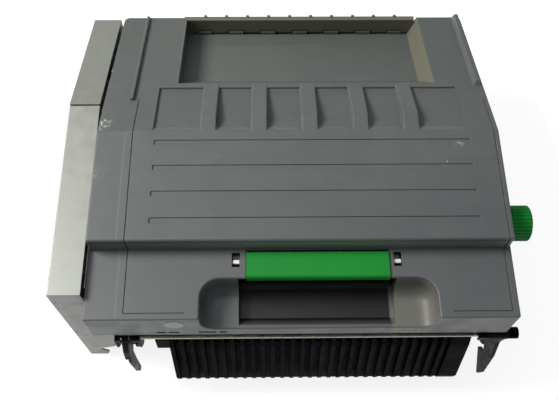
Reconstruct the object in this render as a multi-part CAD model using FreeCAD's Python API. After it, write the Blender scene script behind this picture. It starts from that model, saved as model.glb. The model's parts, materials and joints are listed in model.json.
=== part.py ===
import FreeCAD, Part
import math
import os

# Upper note-transport unit of a cash machine: a moulded top cover with a hand grip, a
# sheet-metal side cover, a steel frame with the note path inside, a comb guide and two
# latch hooks at the front, and a hand knob on the right.
# Millimetres. +X right seen from the front, +Y to the rear, +Z up.
# Origin: centre of the base pan's underside, on the surface the unit stands on.

V = FreeCAD.Vector

# ---- top cover -------------------------------------------------------------------------
COVER_X = 161.0            # half width of the front section
LID_X = 159.5              # half width of the raised panel and the slope behind it
FRONT_Y = -160.0           # front face
LIP_Y = -105.0             # step up from the front section to the panel
BEND_Y = -10.5             # where the panel bends down into the rear slope
REAR_Y = 151.0             # rear face
FRONT_Z = 155.0            # top of the front section
PANEL_Z = 173.0            # top of the panel
SKIRT_Z = 117.0            # lower edge of the front and side walls
CORNER_R = 1.6
REAR_SKIRT_Z = 90.0        # lower edge of the side walls at the rear
SLOPE = math.radians(20.5)
WALL = 3.0

RIB_COUNT = 5
RIB_PITCH = 40.6
RIB_WIDTH = 12.6
RIB_FIRST_X = -71.8
RIB_FLAT_Y = 5.0           # the rib tops are level as far back as this
RIB_END_Y = 50.0           # and meet the slope here
WINDOW_X = (-115.6, 135.0)  # outer ends of the row of sunk windows
WINDOW_S = (0.6, 58.6)     # distances down the slope from the bend
WINDOW_RAMP = 6.4          # length of each window's slanted front wall
WINDOW_DEPTH = 2.0

STRIP_X = (-114.0, 136.0)
STRIP_WIDTH = 4.6
STRIP_DEPTH = 0.9
STRIP_PITCH = 22.4
STRIP_FIRST_Y = -90.6
STRIP_COUNT = 4

POCKET_DEPTH = 20.0        # rear pocket, measured square to the slope
POCKET_FLOOR_X = (-100.8, 111.5)
POCKET_MOUTH_X = (-100.4, 118.2)
POCKET_FLOOR_START = 95.5  # distances down the slope from the bend
POCKET_MOUTH_START = 64.6
POCKET_FLOOR_END = 175.6
TONGUE_COUNT = 7
TONGUE_PITCH = 30.7
TONGUE_WIDTH = 14.0
TONGUE_HEIGHT = 3.6        # tabs that stand up from the pocket floor's rear edge
TONGUE_T = 2.2
TONGUE_GAP = 0.8
SEAT_GAP = 0.2             # round the note guide that closes the pocket

GRIP_X = (-75.5, 101.5)    # hand recess in the front section
GRIP_REAR_Y = -128.0
GRIP_CORNER_R = 15.0
GRIP_BLEND_R = 11.0        # where the scoops' walls run into their floor
GRIP_RIM_R = 1.4
GRIP_FLOOR_Z = 131.5
CUP_X = (-47.0, 72.4)      # its deep middle part, which runs back under the release bar
CUP_REAR_Y = -120.0
CUP_FLOOR_Z = 121.6
CUP_RAMP = (3.0, 11.0)     # distances behind the front face where the cup's floor drops
GROOVE_X = (-131.0, 155.6)  # fine grooves that frame the top
GROOVE = 0.9

# ---- release bar, its shaft and the slide ------------------------------------------------
BAR_X = (-41.0, 67.0)
BAR_Y = (-128.0, -107.4)
BAR_TOP_Z = 156.5
HANDLE_AXIS = (-104.0, 147.0)      # y, z
HANDLE_ARM = 20.0                  # shaft centre to slide pin
LINK_X = (-49.0, 73.6)             # middle of each white link
LATCH_AXIS = (-157.0, 105.0)
LATCH_ARM = 12.0
LATCH_R = 3.0
SLIDE_TRAVEL = 4.2
LEVER_X = (-133.6, -131.4)
SLIDE_X = (-130.4, -128.4)
SLIDE_STUDS = ((-144.6, 104.5), (-144.6, 93.5))
RIGHT_HOOK_X = (158.6, 161.8)

# ---- frame ---------------------------------------------------------------------------------
PLATE_T = 1.6
LEFT_X = -150.0            # outer faces of the frame plates
RIGHT_X = 149.6
PAN_Y = (-105.0, 138.0)
GUIDE_Z = 113.0            # upper face of the lower guide plate
GUIDE_T = 1.2
NOTE_GAP = 2.0
PLATE_PROFILE = ((-145.0, 72.0, 6.0), (-145.0, 138.0, 6.0), (-99.0, 138.0), (-97.0, 160.0, 6.0),
                 (-16.0, 160.0, 8.0), (60.0, 128.0, 10.0), (134.0, 100.0, 6.0), (141.0, 60.0, 6.0),
                 (141.0, 0.0, 6.0), (-112.0, 0.0, 6.0))
PLATE_SCREWS = ((-112.0, 70.0), (-112.0, 94.0), (132.0, 56.0), (132.0, 74.0), (-60.0, 8.0))
PIVOT_AXIS = (126.0, 18.0)
BEARING_R = 8.0
COVER_SCREWS = ((-132.0, 124.0, COVER_X), (112.0, 99.0, LID_X))   # y, z, outer face

# ---- diverter gate ---------------------------------------------------------------------------
GATE_AXIS = (-134.0, 105.0)
GATE_X = (-80.0, -50.0, -15.0, 15.0, 35.0, 80.0)
GATE_ARM = 16.0
GATE_R = 2.5
SOLENOID_X = 50.0
SOLENOID_Z = 89.0

# ---- electronics -----------------------------------------------------------------------------
BOARD_X = (-8.0, 142.0)
BOARD_Y = (-56.0, 106.0)
BOARD_Z = 14.0
BOARD_T = 1.6
SOCKETS = ((63.0, 16.0), (84.0, 17.0))      # y of the near end, length

# ---- drive -----------------------------------------------------------------------------------
KNOB_AXIS = (-80.0, 145.0)
FEED_AXIS = (-80.0, 99.0)
REAR_AXIS = (25.0, 99.0)
MOTOR_AXIS = (-27.5, 52.0)
KNOB_TEETH = 36
FEED_TEETH = 56
MODULE = 1.0
SHAFT_R = 4.0
ROLLER_R = 14.8
PINCH_R = 8.0
PINCH_SHAFT_R = 3.0
PINCH_Z = FEED_AXIS[1] + ROLLER_R + 0.3 + PINCH_R
ROLLER_X = (-75.0, -25.0, 25.0, 75.0)
ROLLER_W = 14.0
PULLEY_R = 11.0
PULLEY_TEETH = 24
BELT_X = (-159.8, -152.7)
MOTOR_SHAFT_R = 2.5
KNOB_R = 14.1
KNOB_X = (162.0, 181.0)
KNOB_SHAFT_END = 178.0
RUNNING = 0.05             # radial clearance of a shaft in its bearing

# ---- left side cover ---------------------------------------------------------------------------
SIDE_X = -187.0
SIDE_INNER_X = -162.0
SIDE_FRONT_Y = -143.0
SIDE_SEAM_Y = 21.0
SIDE_REAR_Y = 146.0
SIDE_TOP_Z = 162.0
SEAM_HALF = 0.8            # half the gap between its front and rear halves
SHEET = 1.2
SIDE_POSTS = ((-120.0, 30.0), (-120.0, 102.0), (5.0, 20.0), (60.0, 30.0), (110.0, 76.0))

# ---- comb guide ----------------------------------------------------------------------------------
FIN_COUNT = 28
FIN_PITCH = 8.0
FIN_WIDTH = 3.4
FIN_FIRST_X = -103.0
COMB_BOTTOM_Z = 29.5
COMB_WEB_Z = 32.0              # lower edge of the web that joins the fins
COMB_END_X = (119.6, 135.0)    # solid block at the right end


# ---- helpers ---------------------------------------------------------------------------------------
def box(x0, x1, y0, y1, z0, z1):
    return Part.makeBox(x1 - x0, y1 - y0, z1 - z0, V(x0, y0, z0))


def rod(x0, x1, centre, radius):
    return Part.makeCylinder(radius, x1 - x0, V(x0, centre[0], centre[1]), V(1, 0, 0))


def tube(x0, x1, centre, outer, inner):
    return rod(x0, x1, centre, outer).cut(rod(x0 - 1, x1 + 1, centre, inner))


def upright(x, y, z0, z1, radius):
    return Part.makeCylinder(radius, z1 - z0, V(x, y, z0))


def along_y(x, z, y0, y1, radius):
    return Part.makeCylinder(radius, y1 - y0, V(x, y0, z), V(0, 1, 0))


def fuse(shapes):
    shapes = list(shapes)
    if len(shapes) == 1:
        return shapes[0]
    return shapes[0].multiFuse(shapes[1:]).removeSplitter()


def outline(points, place):
    """Closed face through (a, b) points; (a, b, r) rounds that corner with radius r.
    place turns (a, b) into a vector."""
    count = len(points)
    ends = []
    for i in range(count):
        a, b = points[i][0], points[i][1]
        r = points[i][2] if len(points[i]) > 2 else 0.0
        if r == 0.0:
            ends.append((place(a, b), None, place(a, b)))
            continue
        before, after = points[i - 1], points[(i + 1) % count]
        ua, ub = before[0] - a, before[1] - b
        wa, wb = after[0] - a, after[1] - b
        ul, wl = math.hypot(ua, ub), math.hypot(wa, wb)
        ua, ub, wa, wb = ua / ul, ub / ul, wa / wl, wb / wl
        half = 0.5 * math.acos(max(-1.0, min(1.0, ua * wa + ub * wb)))
        back = r / math.tan(half)
        ma, mb = ua + wa, ub + wb
        ml = math.hypot(ma, mb)
        near = r / math.sin(half) - r
        start = place(a + ua * back, b + ub * back)
        middle = place(a + ma / ml * near, b + mb / ml * near)
        ends.append((start, middle, place(a + wa * back, b + wb * back)))
    edges = []
    for i in range(count):
        start, middle, stop = ends[i]
        if middle is not None:
            edges.append(Part.Arc(start, middle, stop).toShape())
        following = ends[(i + 1) % count][0]
        if stop.distanceToPoint(following) > 1e-6:
            edges.append(Part.LineSegment(stop, following).toShape())
    return Part.Face(Part.Wire(edges))


def side_plate(points, x0, x1):
    """Outline in (y, z), thick along X."""
    return outline(points, lambda a, b: V(x0, a, b)).extrude(V(x1 - x0, 0, 0))


def front_plate(points, y0, y1):
    """Outline in (x, z), thick along Y."""
    return outline(points, lambda a, b: V(a, y0, b)).extrude(V(0, y1 - y0, 0))


def flat_plate(points, z0, z1):
    """Outline in (x, y), thick along Z."""
    return outline(points, lambda a, b: V(a, b, z0)).extrude(V(0, 0, z1 - z0))


def rectangle(a0, a1, b0, b1, r=0.0):
    return [(a0, b0, r), (a1, b0, r), (a1, b1, r), (a0, b1, r)]


def slope_point(x, s, n):
    """Point on the rear slope: s down the slope from the bend, n above its surface."""
    y = BEND_Y + s * math.cos(SLOPE) + n * math.sin(SLOPE)
    z = PANEL_Z - s * math.sin(SLOPE) + n * math.cos(SLOPE)
    return V(x, y, z)


def slope_z(y):
    return PANEL_Z - (y - BEND_Y) * math.tan(SLOPE)


def slope_block(x0, x1, s0, s1, n0, n1):
    corners = [slope_point(x0, s0, n0), slope_point(x0, s1, n0),
               slope_point(x0, s1, n1), slope_point(x0, s0, n1)]
    return Part.Face(Part.makePolygon(corners + corners[:1])).extrude(V(x1 - x0, 0, 0))


def soften(shape, radius, wanted):
    """Round the edges that wanted() picks, one attempt each, keeping a valid solid."""
    edges = [e for e in shape.Edges if wanted(e)]
    if not edges:
        return shape
    try:
        rounded = shape.makeFillet(radius, edges)
    except Part.OCCError:
        print("left sharp:", len(edges), "edges, radius", radius)
        return shape
    return rounded if rounded.isValid() else shape


def runs_along(edge, axis):
    a, b = edge.Vertexes[0].Point, edge.Vertexes[-1].Point
    d = b - a
    return d.Length > 1.0 and abs(abs(getattr(d, axis)) - d.Length) < 1e-4


def toothed(x0, x1, centre, teeth, module, bore, phase=0.0, slim=0.12):
    """Spur gear about X. phase is the angle of one tooth's middle, from +Y towards +Z."""
    pitch = 0.5 * teeth * module
    levels = [(pitch - 1.2 * module, 0.5 * math.pi * module * 0.5 + 0.30 * module - slim),
              (pitch, 0.25 * math.pi * module - slim),
              (pitch + 0.9 * module, 0.25 * math.pi * module - 0.32 * module - slim)]
    points = []
    for k in range(teeth):
        middle = phase + 2.0 * math.pi * k / teeth
        flank = [(-half, r) for r, half in levels] + [(half, r) for r, half in levels[::-1]]
        for half, r in flank:
            angle = middle + half / r
            points.append((centre[0] + r * math.cos(angle), centre[1] + r * math.sin(angle)))
    return side_plate(points, x0, x1).cut(rod(x0 - 1, x1 + 1, centre, bore))


def pan_screw(base, direction, radius=1.5, head=2.9, length=6.0):
    """Pan-head screw: base is under its head, direction points out of the head."""
    d = V(*direction)
    shank = Part.makeCylinder(radius, length, base - d * length, d)
    cap = Part.makeCylinder(head, 1.8, base, d)
    recess = Part.makeCylinder(0.9, 1.2, base + d * 0.9, d)
    return cap.fuse(shank).cut(recess)


# ---- top cover --------------------------------------------------------------------------------------
def cover_envelope(inset, skirt_drop):
    """The cover's outer block, shrunk by inset on every side but the open underside."""
    low = SKIRT_Z - skirt_drop
    rear_low = REAR_SKIRT_Z - skirt_drop
    slant = inset / math.cos(SLOPE)
    shift = inset * math.tan(SLOPE * 0.5)
    front = box(-COVER_X + inset, COVER_X - inset, FRONT_Y + inset, LIP_Y + 8,
                low, FRONT_Z - inset)
    rear = REAR_Y - inset
    profile = [(LIP_Y + inset, low), (LIP_Y + inset, PANEL_Z - inset),
               (BEND_Y - shift, PANEL_Z - inset), (rear, slope_z(rear) - slant),
               (rear, rear_low), (92.0, rear_low), (30.0, low)]
    lid = side_plate(profile, -LID_X + inset, LID_X - inset)
    return front, lid


def pocket_solid(grow):
    """The rear pocket's space, or with grow the block its walls are cut from."""
    lean = (POCKET_FLOOR_START - POCKET_MOUTH_START) / POCKET_DEPTH
    above = 4.0
    loops = []
    for n in (-POCKET_DEPTH - grow, above):
        rise = n / POCKET_DEPTH
        x0 = POCKET_MOUTH_X[0] - (POCKET_FLOOR_X[0] - POCKET_MOUTH_X[0]) * rise - grow
        x1 = POCKET_MOUTH_X[1] - (POCKET_FLOOR_X[1] - POCKET_MOUTH_X[1]) * rise + grow
        s0 = POCKET_MOUTH_START - lean * n - grow
        s1 = POCKET_FLOOR_END + (0.0 if grow else 30.0)
        corners = [slope_point(x0, s0, n), slope_point(x1, s0, n),
                   slope_point(x1, s1, n), slope_point(x0, s1, n)]
        loops.append(Part.makePolygon(corners + corners[:1]))
    return Part.makeLoft(loops, True, True)


def grip_solid(grow):
    """The hand recess: scooped at both ends, with the deep cup in the middle."""
    top = FRONT_Z + 10.0
    front = FRONT_Y - (0.0 if grow else 10.0)
    x0, x1 = GRIP_X[0] - grow, GRIP_X[1] + grow
    rear = GRIP_REAR_Y + grow
    floor = GRIP_FLOOR_Z - grow
    r = GRIP_CORNER_R
    scoops = flat_plate([(x0, front), (x1, front), (x1, rear, r), (x0, rear, r)], floor, top)
    scoops = soften(scoops, GRIP_BLEND_R, lambda e: abs(e.CenterOfMass.z - floor) < 0.01
                    and e.CenterOfMass.y > front + 1)
    c0, c1 = CUP_X[0] - grow, CUP_X[1] + grow
    cup_rear = CUP_REAR_Y + grow
    cup_top = FRONT_Z - WALL if grow == 0 else FRONT_Z
    drop_start, drop_end = CUP_RAMP
    cup = side_plate([(front, GRIP_FLOOR_Z - grow), (FRONT_Y + drop_start, GRIP_FLOOR_Z - grow),
                      (FRONT_Y + drop_end, CUP_FLOOR_Z - grow), (cup_rear, CUP_FLOOR_Z - grow, 6.0),
                      (cup_rear, cup_top), (front, cup_top)], c0, c1)
    return scoops.fuse(cup)


def bar_opening():
    gap = 0.5
    swing = 1.9            # the bar's upper rear edge moves this far back as it lifts
    return box(BAR_X[0] - gap, BAR_X[1] + gap, BAR_Y[0] - 1.0, BAR_Y[1] + swing,
               FRONT_Z - WALL - 1, FRONT_Z + 5)


def cover_ribs():
    ribs = []
    for k in range(RIB_COUNT):
        x = RIB_FIRST_X + RIB_PITCH * k
        profile = [(BEND_Y - 2.0, PANEL_Z - 2.0), (BEND_Y - 2.0, PANEL_Z), (RIB_FLAT_Y, PANEL_Z),
                   (RIB_END_Y, slope_z(RIB_END_Y)), (RIB_END_Y, slope_z(RIB_END_Y) - 2.0)]
        rib = side_plate(profile, x - RIB_WIDTH / 2, x + RIB_WIDTH / 2)
        ribs.append(soften(rib, 1.0, lambda e: not runs_along(e, "x") and not runs_along(e, "z")
                           and e.CenterOfMass.y > BEND_Y - 1.0
                           and e.CenterOfMass.z > slope_z(e.CenterOfMass.y) + 1.0))
    return ribs


def cover_windows():
    cuts = []
    for k in range(RIB_COUNT + 1):
        left = WINDOW_X[0] if k == 0 else RIB_FIRST_X + RIB_PITCH * (k - 1) + RIB_WIDTH / 2 + 0.4
        right = WINDOW_X[1] if k == RIB_COUNT else RIB_FIRST_X + RIB_PITCH * k - RIB_WIDTH / 2 - 0.4
        front, rear = WINDOW_S
        section = [(front, 0.0), (front + WINDOW_RAMP, -WINDOW_DEPTH), (rear, -WINDOW_DEPTH),
                   (rear, 6.0), (front, 6.0)]
        corners = [slope_point(left, s, n) for s, n in section]
        face = Part.Face(Part.makePolygon(corners + corners[:1]))
        cuts.append(face.extrude(V(right - left, 0, 0)))
    return cuts


def cover_strips():
    cuts = []
    for k in range(STRIP_COUNT):
        y = STRIP_FIRST_Y + STRIP_PITCH * k
        cuts.append(flat_plate(rectangle(STRIP_X[0], STRIP_X[1], y, y + STRIP_WIDTH, 1.2),
                               PANEL_Z - STRIP_DEPTH, PANEL_Z + 1))
    return cuts


def cover_grooves():
    """Fine grooves down both sides, turned inwards near the front edge."""
    cuts = []
    turn_y = FRONT_Y + 5.0
    for x, tail in zip(GROOVE_X, (-86.0, 112.0)):
        cuts.append(box(x - GROOVE / 2, x + GROOVE / 2, turn_y, LIP_Y, FRONT_Z - 0.7, FRONT_Z + 1))
        cuts.append(box(x - GROOVE / 2, x + GROOVE / 2, LIP_Y - 1, LIP_Y + 0.7, FRONT_Z - 0.7, PANEL_Z))
        cuts.append(box(x - GROOVE / 2, x + GROOVE / 2, LIP_Y, BEND_Y, PANEL_Z - 0.7, PANEL_Z + 1))
        cuts.append(slope_block(x - GROOVE / 2, x + GROOVE / 2, 0.0, 42.0, -0.7, 1.0))
        cuts.append(box(min(x, tail), max(x, tail), turn_y - GROOVE / 2, turn_y + GROOVE / 2,
                        FRONT_Z - 0.7, FRONT_Z + 1))
    return cuts


def cover_rails():
    """Raised rails down the rear slope: a thin one on the left, a slanted one on the right."""
    left = slope_block(-138.0, -135.2, 40.0, 170.0, -1.0, 3.0)
    left = soften(left, 1.0, lambda e: not runs_along(e, "x") and e.Length > 20.0
                  and e.CenterOfMass.z > slope_z(e.CenterOfMass.y) + 2.0)
    section = [(150.6, -1.0), (150.6, 0.0), (153.2, 4.4), (156.4, 4.4), (157.6, -1.0)]
    corners = [slope_point(x, 58.0, n) for x, n in section]
    face = Part.Face(Part.makePolygon(corners + corners[:1]))
    run = slope_point(0, 170.0, 0) - slope_point(0, 58.0, 0)
    right = face.extrude(run)
    slant = [slope_point(140.0, 57.0, -2.0), slope_point(140.0, 57.0, 9.0),
             slope_point(140.0, 64.0, 9.0), slope_point(140.0, 58.5, -2.0)]
    wedge = Part.Face(Part.makePolygon(slant + slant[:1])).extrude(V(30, 0, 0))
    return [left, right.cut(wedge)]


def tongue_places():
    middle = 0.5 * (POCKET_FLOOR_X[0] + POCKET_FLOOR_X[1]) + 1.6
    return [middle + (k - (TONGUE_COUNT - 1) / 2) * TONGUE_PITCH for k in range(TONGUE_COUNT)]


def top_cover():
    front, lid = cover_envelope(0.0, 0.0)
    front = soften(front, CORNER_R, lambda e: runs_along(e, "z") and e.CenterOfMass.y < FRONT_Y + 1)
    front = soften(front, 1.2, lambda e: abs(e.CenterOfMass.z - FRONT_Z) < 0.5
                   and e.CenterOfMass.y < LIP_Y + 1)
    lid = soften(lid, 5.0, lambda e: runs_along(e, "z") and e.CenterOfMass.y > REAR_Y - 1)
    lid = soften(lid, 2.0, lambda e: runs_along(e, "x") and e.CenterOfMass.z > PANEL_Z - 1
                 and e.CenterOfMass.y < LIP_Y + 1)
    lid = soften(lid, 1.2, lambda e: abs(abs(e.CenterOfMass.x) - LID_X) < 0.01
                 and e.CenterOfMass.z > 120.0 and not runs_along(e, "z"))
    outer = front.fuse(lid)
    hollow_front, hollow_lid = cover_envelope(WALL, 5.0)
    shell = outer.cut(hollow_front.fuse(hollow_lid))
    linings = [pocket_solid(2.6).common(lid), grip_solid(2.4).common(front)]
    shell = fuse([shell] + linings + cover_ribs() + cover_rails())
    edge = slope_point(0, POCKET_FLOOR_END, -POCKET_DEPTH)
    tongues = [box(x - TONGUE_WIDTH / 2, x + TONGUE_WIDTH / 2, edge.y - 1.0, edge.y + TONGUE_T,
                   edge.z - 2.4, edge.z + TONGUE_HEIGHT) for x in tongue_places()]
    gx0, gx1, gy0, gy1 = rear_guide_space()[:4]
    guide_seat = box(gx0 - SEAT_GAP, gx1 + SEAT_GAP, gy0 - SEAT_GAP, gy1 + 1, 62.0, PANEL_Z)
    cuts = [pocket_solid(0.0), guide_seat, grip_solid(0.0), bar_opening()]
    cuts += cover_windows() + cover_strips() + cover_grooves()
    for x in LINK_X:
        cuts.append(box(x - 3.0, x + 3.0, -119.0, -107.6, FRONT_Z - 12.0, FRONT_Z + 2))
    for x0, x1 in ((-110.0, -103.0), (-101.0, -93.0), (-78.0, -65.0), (-62.0, -57.0)):
        cuts.append(box(x0, x1, FRONT_Y - 1, FRONT_Y + WALL + 1, 122.0, 125.0))
    cuts.append(rod(LID_X - 5, LID_X + 1, KNOB_AXIS, 6.0))
    cuts += [rod(LID_X - 5, COVER_X + 1, (y, z), 1.7) for y, z, face in COVER_SCREWS]
    cover = shell.cut(cuts).fuse(tongues).removeSplitter()
    return soften(cover, GRIP_RIM_R, on_grip_rim)


def on_grip_rim(edge):
    """True on the upper edge round the scoops, away from the bar's opening."""
    centre = edge.CenterOfMass
    if abs(centre.z - FRONT_Z) > 0.01 or not GRIP_X[0] - 1 < centre.x < GRIP_X[1] + 1:
        return False
    if CUP_X[0] - 1 < centre.x < CUP_X[1] + 1:
        return False
    return FRONT_Y + 2 < centre.y < GRIP_REAR_Y + 1 and edge.Length > 2.0


def rear_guide_space():
    """Left, right, front, rear and top of the wall behind the pocket."""
    front = slope_point(0, POCKET_FLOOR_END, -POCKET_DEPTH).y + TONGUE_GAP
    return (POCKET_FLOOR_X[0] - 2.2, POCKET_FLOOR_X[1] + 4.0, front, front + 4.4,
            slope_z(REAR_Y) - 0.2)


def rear_note_guide():
    """Dark wall that closes the pocket at the rear, with a recess for each tab of the floor."""
    x0, x1, y0, y1, top = rear_guide_space()
    floor = slope_point(0, POCKET_FLOOR_END, -POCKET_DEPTH)
    wall = box(x0, x1, y0, y1, 62.0, top)
    foot = box(-60.0, 74.0, 139.7, y1, 62.0, 64.4)
    ribs = []
    for k in range(10):
        x = 7.0 + (k - 4.5) * 20.0
        ribs.append(box(x - 1.0, x + 1.0, y1 - 1.0, y1 + 3.0, 66.0, top - 8.0))
        ribs.append(box(x - 1.4, x + 1.4, y1 - 1.0, y1 + 1.0, top - 8.5, top + 1.2))
    half = TONGUE_WIDTH / 2 + TONGUE_GAP
    recesses = [box(x - half, x + half, y0 - 1, y0 + TONGUE_T, floor.z - 6.0,
                    floor.z + TONGUE_HEIGHT + TONGUE_GAP) for x in tongue_places()]
    return fuse([wall, foot] + ribs).cut(recesses)


def inspection_label():
    return along_y(-95.0, 143.0, FRONT_Y - 0.3, FRONT_Y, 7.5)


# ---- left side cover ------------------------------------------------------------------------------------
def left_side_cover_front():
    top = box(SIDE_X, SIDE_INNER_X, SIDE_FRONT_Y, SIDE_SEAM_Y - SEAM_HALF, SIDE_TOP_Z - SHEET, SIDE_TOP_Z)
    side = box(SIDE_X, SIDE_X + SHEET, SIDE_FRONT_Y, SIDE_SEAM_Y - SEAM_HALF, 0.0, SIDE_TOP_Z)
    face = front_plate([(SIDE_X, 0.0), (-171.0, 0.0, 3.5), (-168.6, 8.0, 3.0), (-176.5, 17.0, 3.5),
                        (-160.0, 25.0, 5.0), (-156.0, 40.0), (-156.0, 112.0),
                        (SIDE_INNER_X, 112.0), (SIDE_INNER_X, SIDE_TOP_Z), (SIDE_X, SIDE_TOP_Z)],
                       SIDE_FRONT_Y, SIDE_FRONT_Y + SHEET)
    flange = box(SIDE_INNER_X - SHEET, SIDE_INNER_X, SIDE_FRONT_Y, SIDE_SEAM_Y - SEAM_HALF,
                 SIDE_TOP_Z - 9.0, SIDE_TOP_Z)
    for y in (-125.0, -112.0):
        flange = flange.cut(box(SIDE_INNER_X - 3, SIDE_INNER_X + 1, y, y + 3.0,
                                SIDE_TOP_Z - 4.0, SIDE_TOP_Z + 1))
    shell = fuse([top, side, face, flange])
    shell = soften(shell, 1.0, lambda e: runs_along(e, "y")
                   and abs(e.CenterOfMass.x - SIDE_X) < 0.01
                   and abs(e.CenterOfMass.z - SIDE_TOP_Z) < 0.01)
    return shell.cut([rod(SIDE_X - 1, SIDE_X + 3, (y, z), 1.7)
                      for y, z in SIDE_POSTS[:3]])


def left_side_cover_rear():
    y0, y1 = SIDE_SEAM_Y + SEAM_HALF, SIDE_REAR_Y
    drop = (y1 - y0) * math.tan(SLOPE)
    profile = [(y0, 0.0), (96.0, 0.0), (100.0, 34.0, 6.0), (y1, 34.0, 2.0),
               (y1, SIDE_TOP_Z - drop), (y0, SIDE_TOP_Z)]
    side = side_plate(profile, SIDE_X, SIDE_X + SHEET)
    lid = side_plate([(y0, SIDE_TOP_Z - SHEET), (y1, SIDE_TOP_Z - drop - SHEET),
                      (y1, SIDE_TOP_Z - drop), (y0, SIDE_TOP_Z)], SIDE_X, SIDE_INNER_X)
    back = box(SIDE_X, SIDE_INNER_X, y1 - SHEET, y1, 36.0, SIDE_TOP_Z - drop)
    flange = side_plate([(y0, SIDE_TOP_Z - 9.0), (y1, SIDE_TOP_Z - drop - 9.0),
                         (y1, SIDE_TOP_Z - drop), (y0, SIDE_TOP_Z)],
                        SIDE_INNER_X - SHEET, SIDE_INNER_X)
    for y in (42.0, 54.0, 118.0, 132.0):
        z = SIDE_TOP_Z - (y - y0) * math.tan(SLOPE)
        flange = flange.cut(box(SIDE_INNER_X - 3, SIDE_INNER_X + 1, y, y + 2.6, z - 5.0, z + 2))
    shell = fuse([side, lid, back, flange])
    return shell.cut([rod(SIDE_X - 1, SIDE_X + 3, (y, z), 1.7)
                      for y, z in SIDE_POSTS[3:]])


# ---- frame ---------------------------------------------------------------------------------------------
def frame_plate(x0, x1, bores, windows):
    plate = side_plate(PLATE_PROFILE, x0, x1)
    cuts = [rod(x0 - 1, x1 + 1, centre, r) for centre, r in bores]
    cuts += [side_plate(rectangle(y0, y1, z0, z1, 6.0), x0 - 1, x1 + 1)
             for y0, y1, z0, z1 in windows]
    return plate.cut(cuts)


def left_frame_plate():
    bores = [(FEED_AXIS, BEARING_R), (REAR_AXIS, BEARING_R), (MOTOR_AXIS, 11.2), (PIVOT_AXIS, 7.0)]
    return frame_plate(LEFT_X, LEFT_X + PLATE_T, bores, [(55.0, 95.0, 40.0, 85.0)])


def right_frame_plate():
    bores = [(KNOB_AXIS, BEARING_R), (FEED_AXIS, BEARING_R), (REAR_AXIS, BEARING_R), (PIVOT_AXIS, 7.0)]
    bores += [((y, z), 1.3) for y, z, face in COVER_SCREWS]
    windows = [(-60.0, 0.0, 30.0, 70.0), (60.0, 104.0, 14.0, 40.0)]
    return frame_plate(RIGHT_X - PLATE_T, RIGHT_X, bores, windows)


def pivot_bushes():
    """Flanged bushes for the pins that the unit swings on."""
    bushes = []
    for x0, x1, f0, f1 in ((LEFT_X - 3, LEFT_X + 5, LEFT_X - 1.5, LEFT_X),
                           (RIGHT_X - 5, RIGHT_X + 3, RIGHT_X, RIGHT_X + 1.5)):
        bush = rod(x0, x1, PIVOT_AXIS, 7.0).fuse(rod(f0, f1, PIVOT_AXIS, 9.5))
        bushes.append(bush.cut(rod(x0 - 1, x1 + 1, PIVOT_AXIS, 5.0)))
    return Part.makeCompound(bushes)


def shaft_bearings():
    rings = []
    spots = [(LEFT_X, FEED_AXIS), (LEFT_X, REAR_AXIS), (RIGHT_X - PLATE_T, FEED_AXIS),
             (RIGHT_X - PLATE_T, REAR_AXIS), (RIGHT_X - PLATE_T, KNOB_AXIS)]
    for x, centre in spots:
        inner_side = 1.0 if x < 0 else -1.0
        x0, x1 = (x, x + 5.0) if x < 0 else (x + PLATE_T - 5.0, x + PLATE_T)
        flange = (x + PLATE_T, x + PLATE_T + 1.2) if inner_side > 0 else (x - 1.2, x)
        ring = rod(x0, x1, centre, BEARING_R).fuse(rod(flange[0], flange[1], centre, 9.2))
        rings.append(ring.cut(rod(x0 - 1, x1 + 1, centre, SHAFT_R + RUNNING)))
    return Part.makeCompound(rings)


def base_pan():
    x0, x1 = LEFT_X + PLATE_T + 0.2, RIGHT_X - PLATE_T - 0.2
    y0, y1 = PAN_Y
    t = 1.5
    pan = fuse([box(x0, x1, y0, y1, 0.0, t), box(x0, x0 + t, y0, y1, 0.0, 14.0),
                box(x1 - t, x1, y0, y1, 0.0, 14.0), box(x0, x1, y0, y0 + t, 0.0, 14.0),
                box(x0, x1, y1 - t, y1, 0.0, 14.0)])
    vents = [flat_plate(rectangle(x, x + 4.0, 62.0, 96.0, 1.9), -1, t + 1)
             for x in range(-120, -56, 9)]
    return pan.cut(vents).cut([rod(x0 - 1, x1 + 1, PIVOT_AXIS, 10.5)])


def channel(y0, z0, z1, reach):
    """Cross beam between the frame plates, open to the rear or the front (reach < 0)."""
    x0, x1 = LEFT_X + PLATE_T, RIGHT_X - PLATE_T
    t = 1.5
    web = box(x0, x1, y0, y0 + t, z0, z1)
    near, far = sorted((y0, y0 + reach))
    return fuse([web, box(x0, x1, near, far, z0, z0 + t), box(x0, x1, near, far, z1 - t, z1)])


def front_cross_beam():
    beam = channel(-118.0, 58.0, 105.0, 10.0)
    return beam.cut(along_y(SOLENOID_X, SOLENOID_Z - 3.0, -120, -115, 4.4))


def rear_cross_beam():
    return channel(138.2, 46.0, 84.0, -12.0)


def mounting_posts():
    """Turned posts: under the side cover, inside the top cover's right wall, under the board."""
    posts = []
    for y, z in SIDE_POSTS:
        post = rod(SIDE_X + SHEET, LEFT_X, (y, z), 4.0)
        posts.append(post.cut(rod(SIDE_X, SIDE_X + 9, (y, z), 1.5)))
    for y, z, face in COVER_SCREWS:
        posts.append(tube(RIGHT_X, face - WALL, (y, z), 3.5, 1.35))
    posts += [upright(x, y, 1.5, BOARD_Z, 3.0) for x, y in board_corners()]
    return Part.makeCompound(posts)


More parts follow.
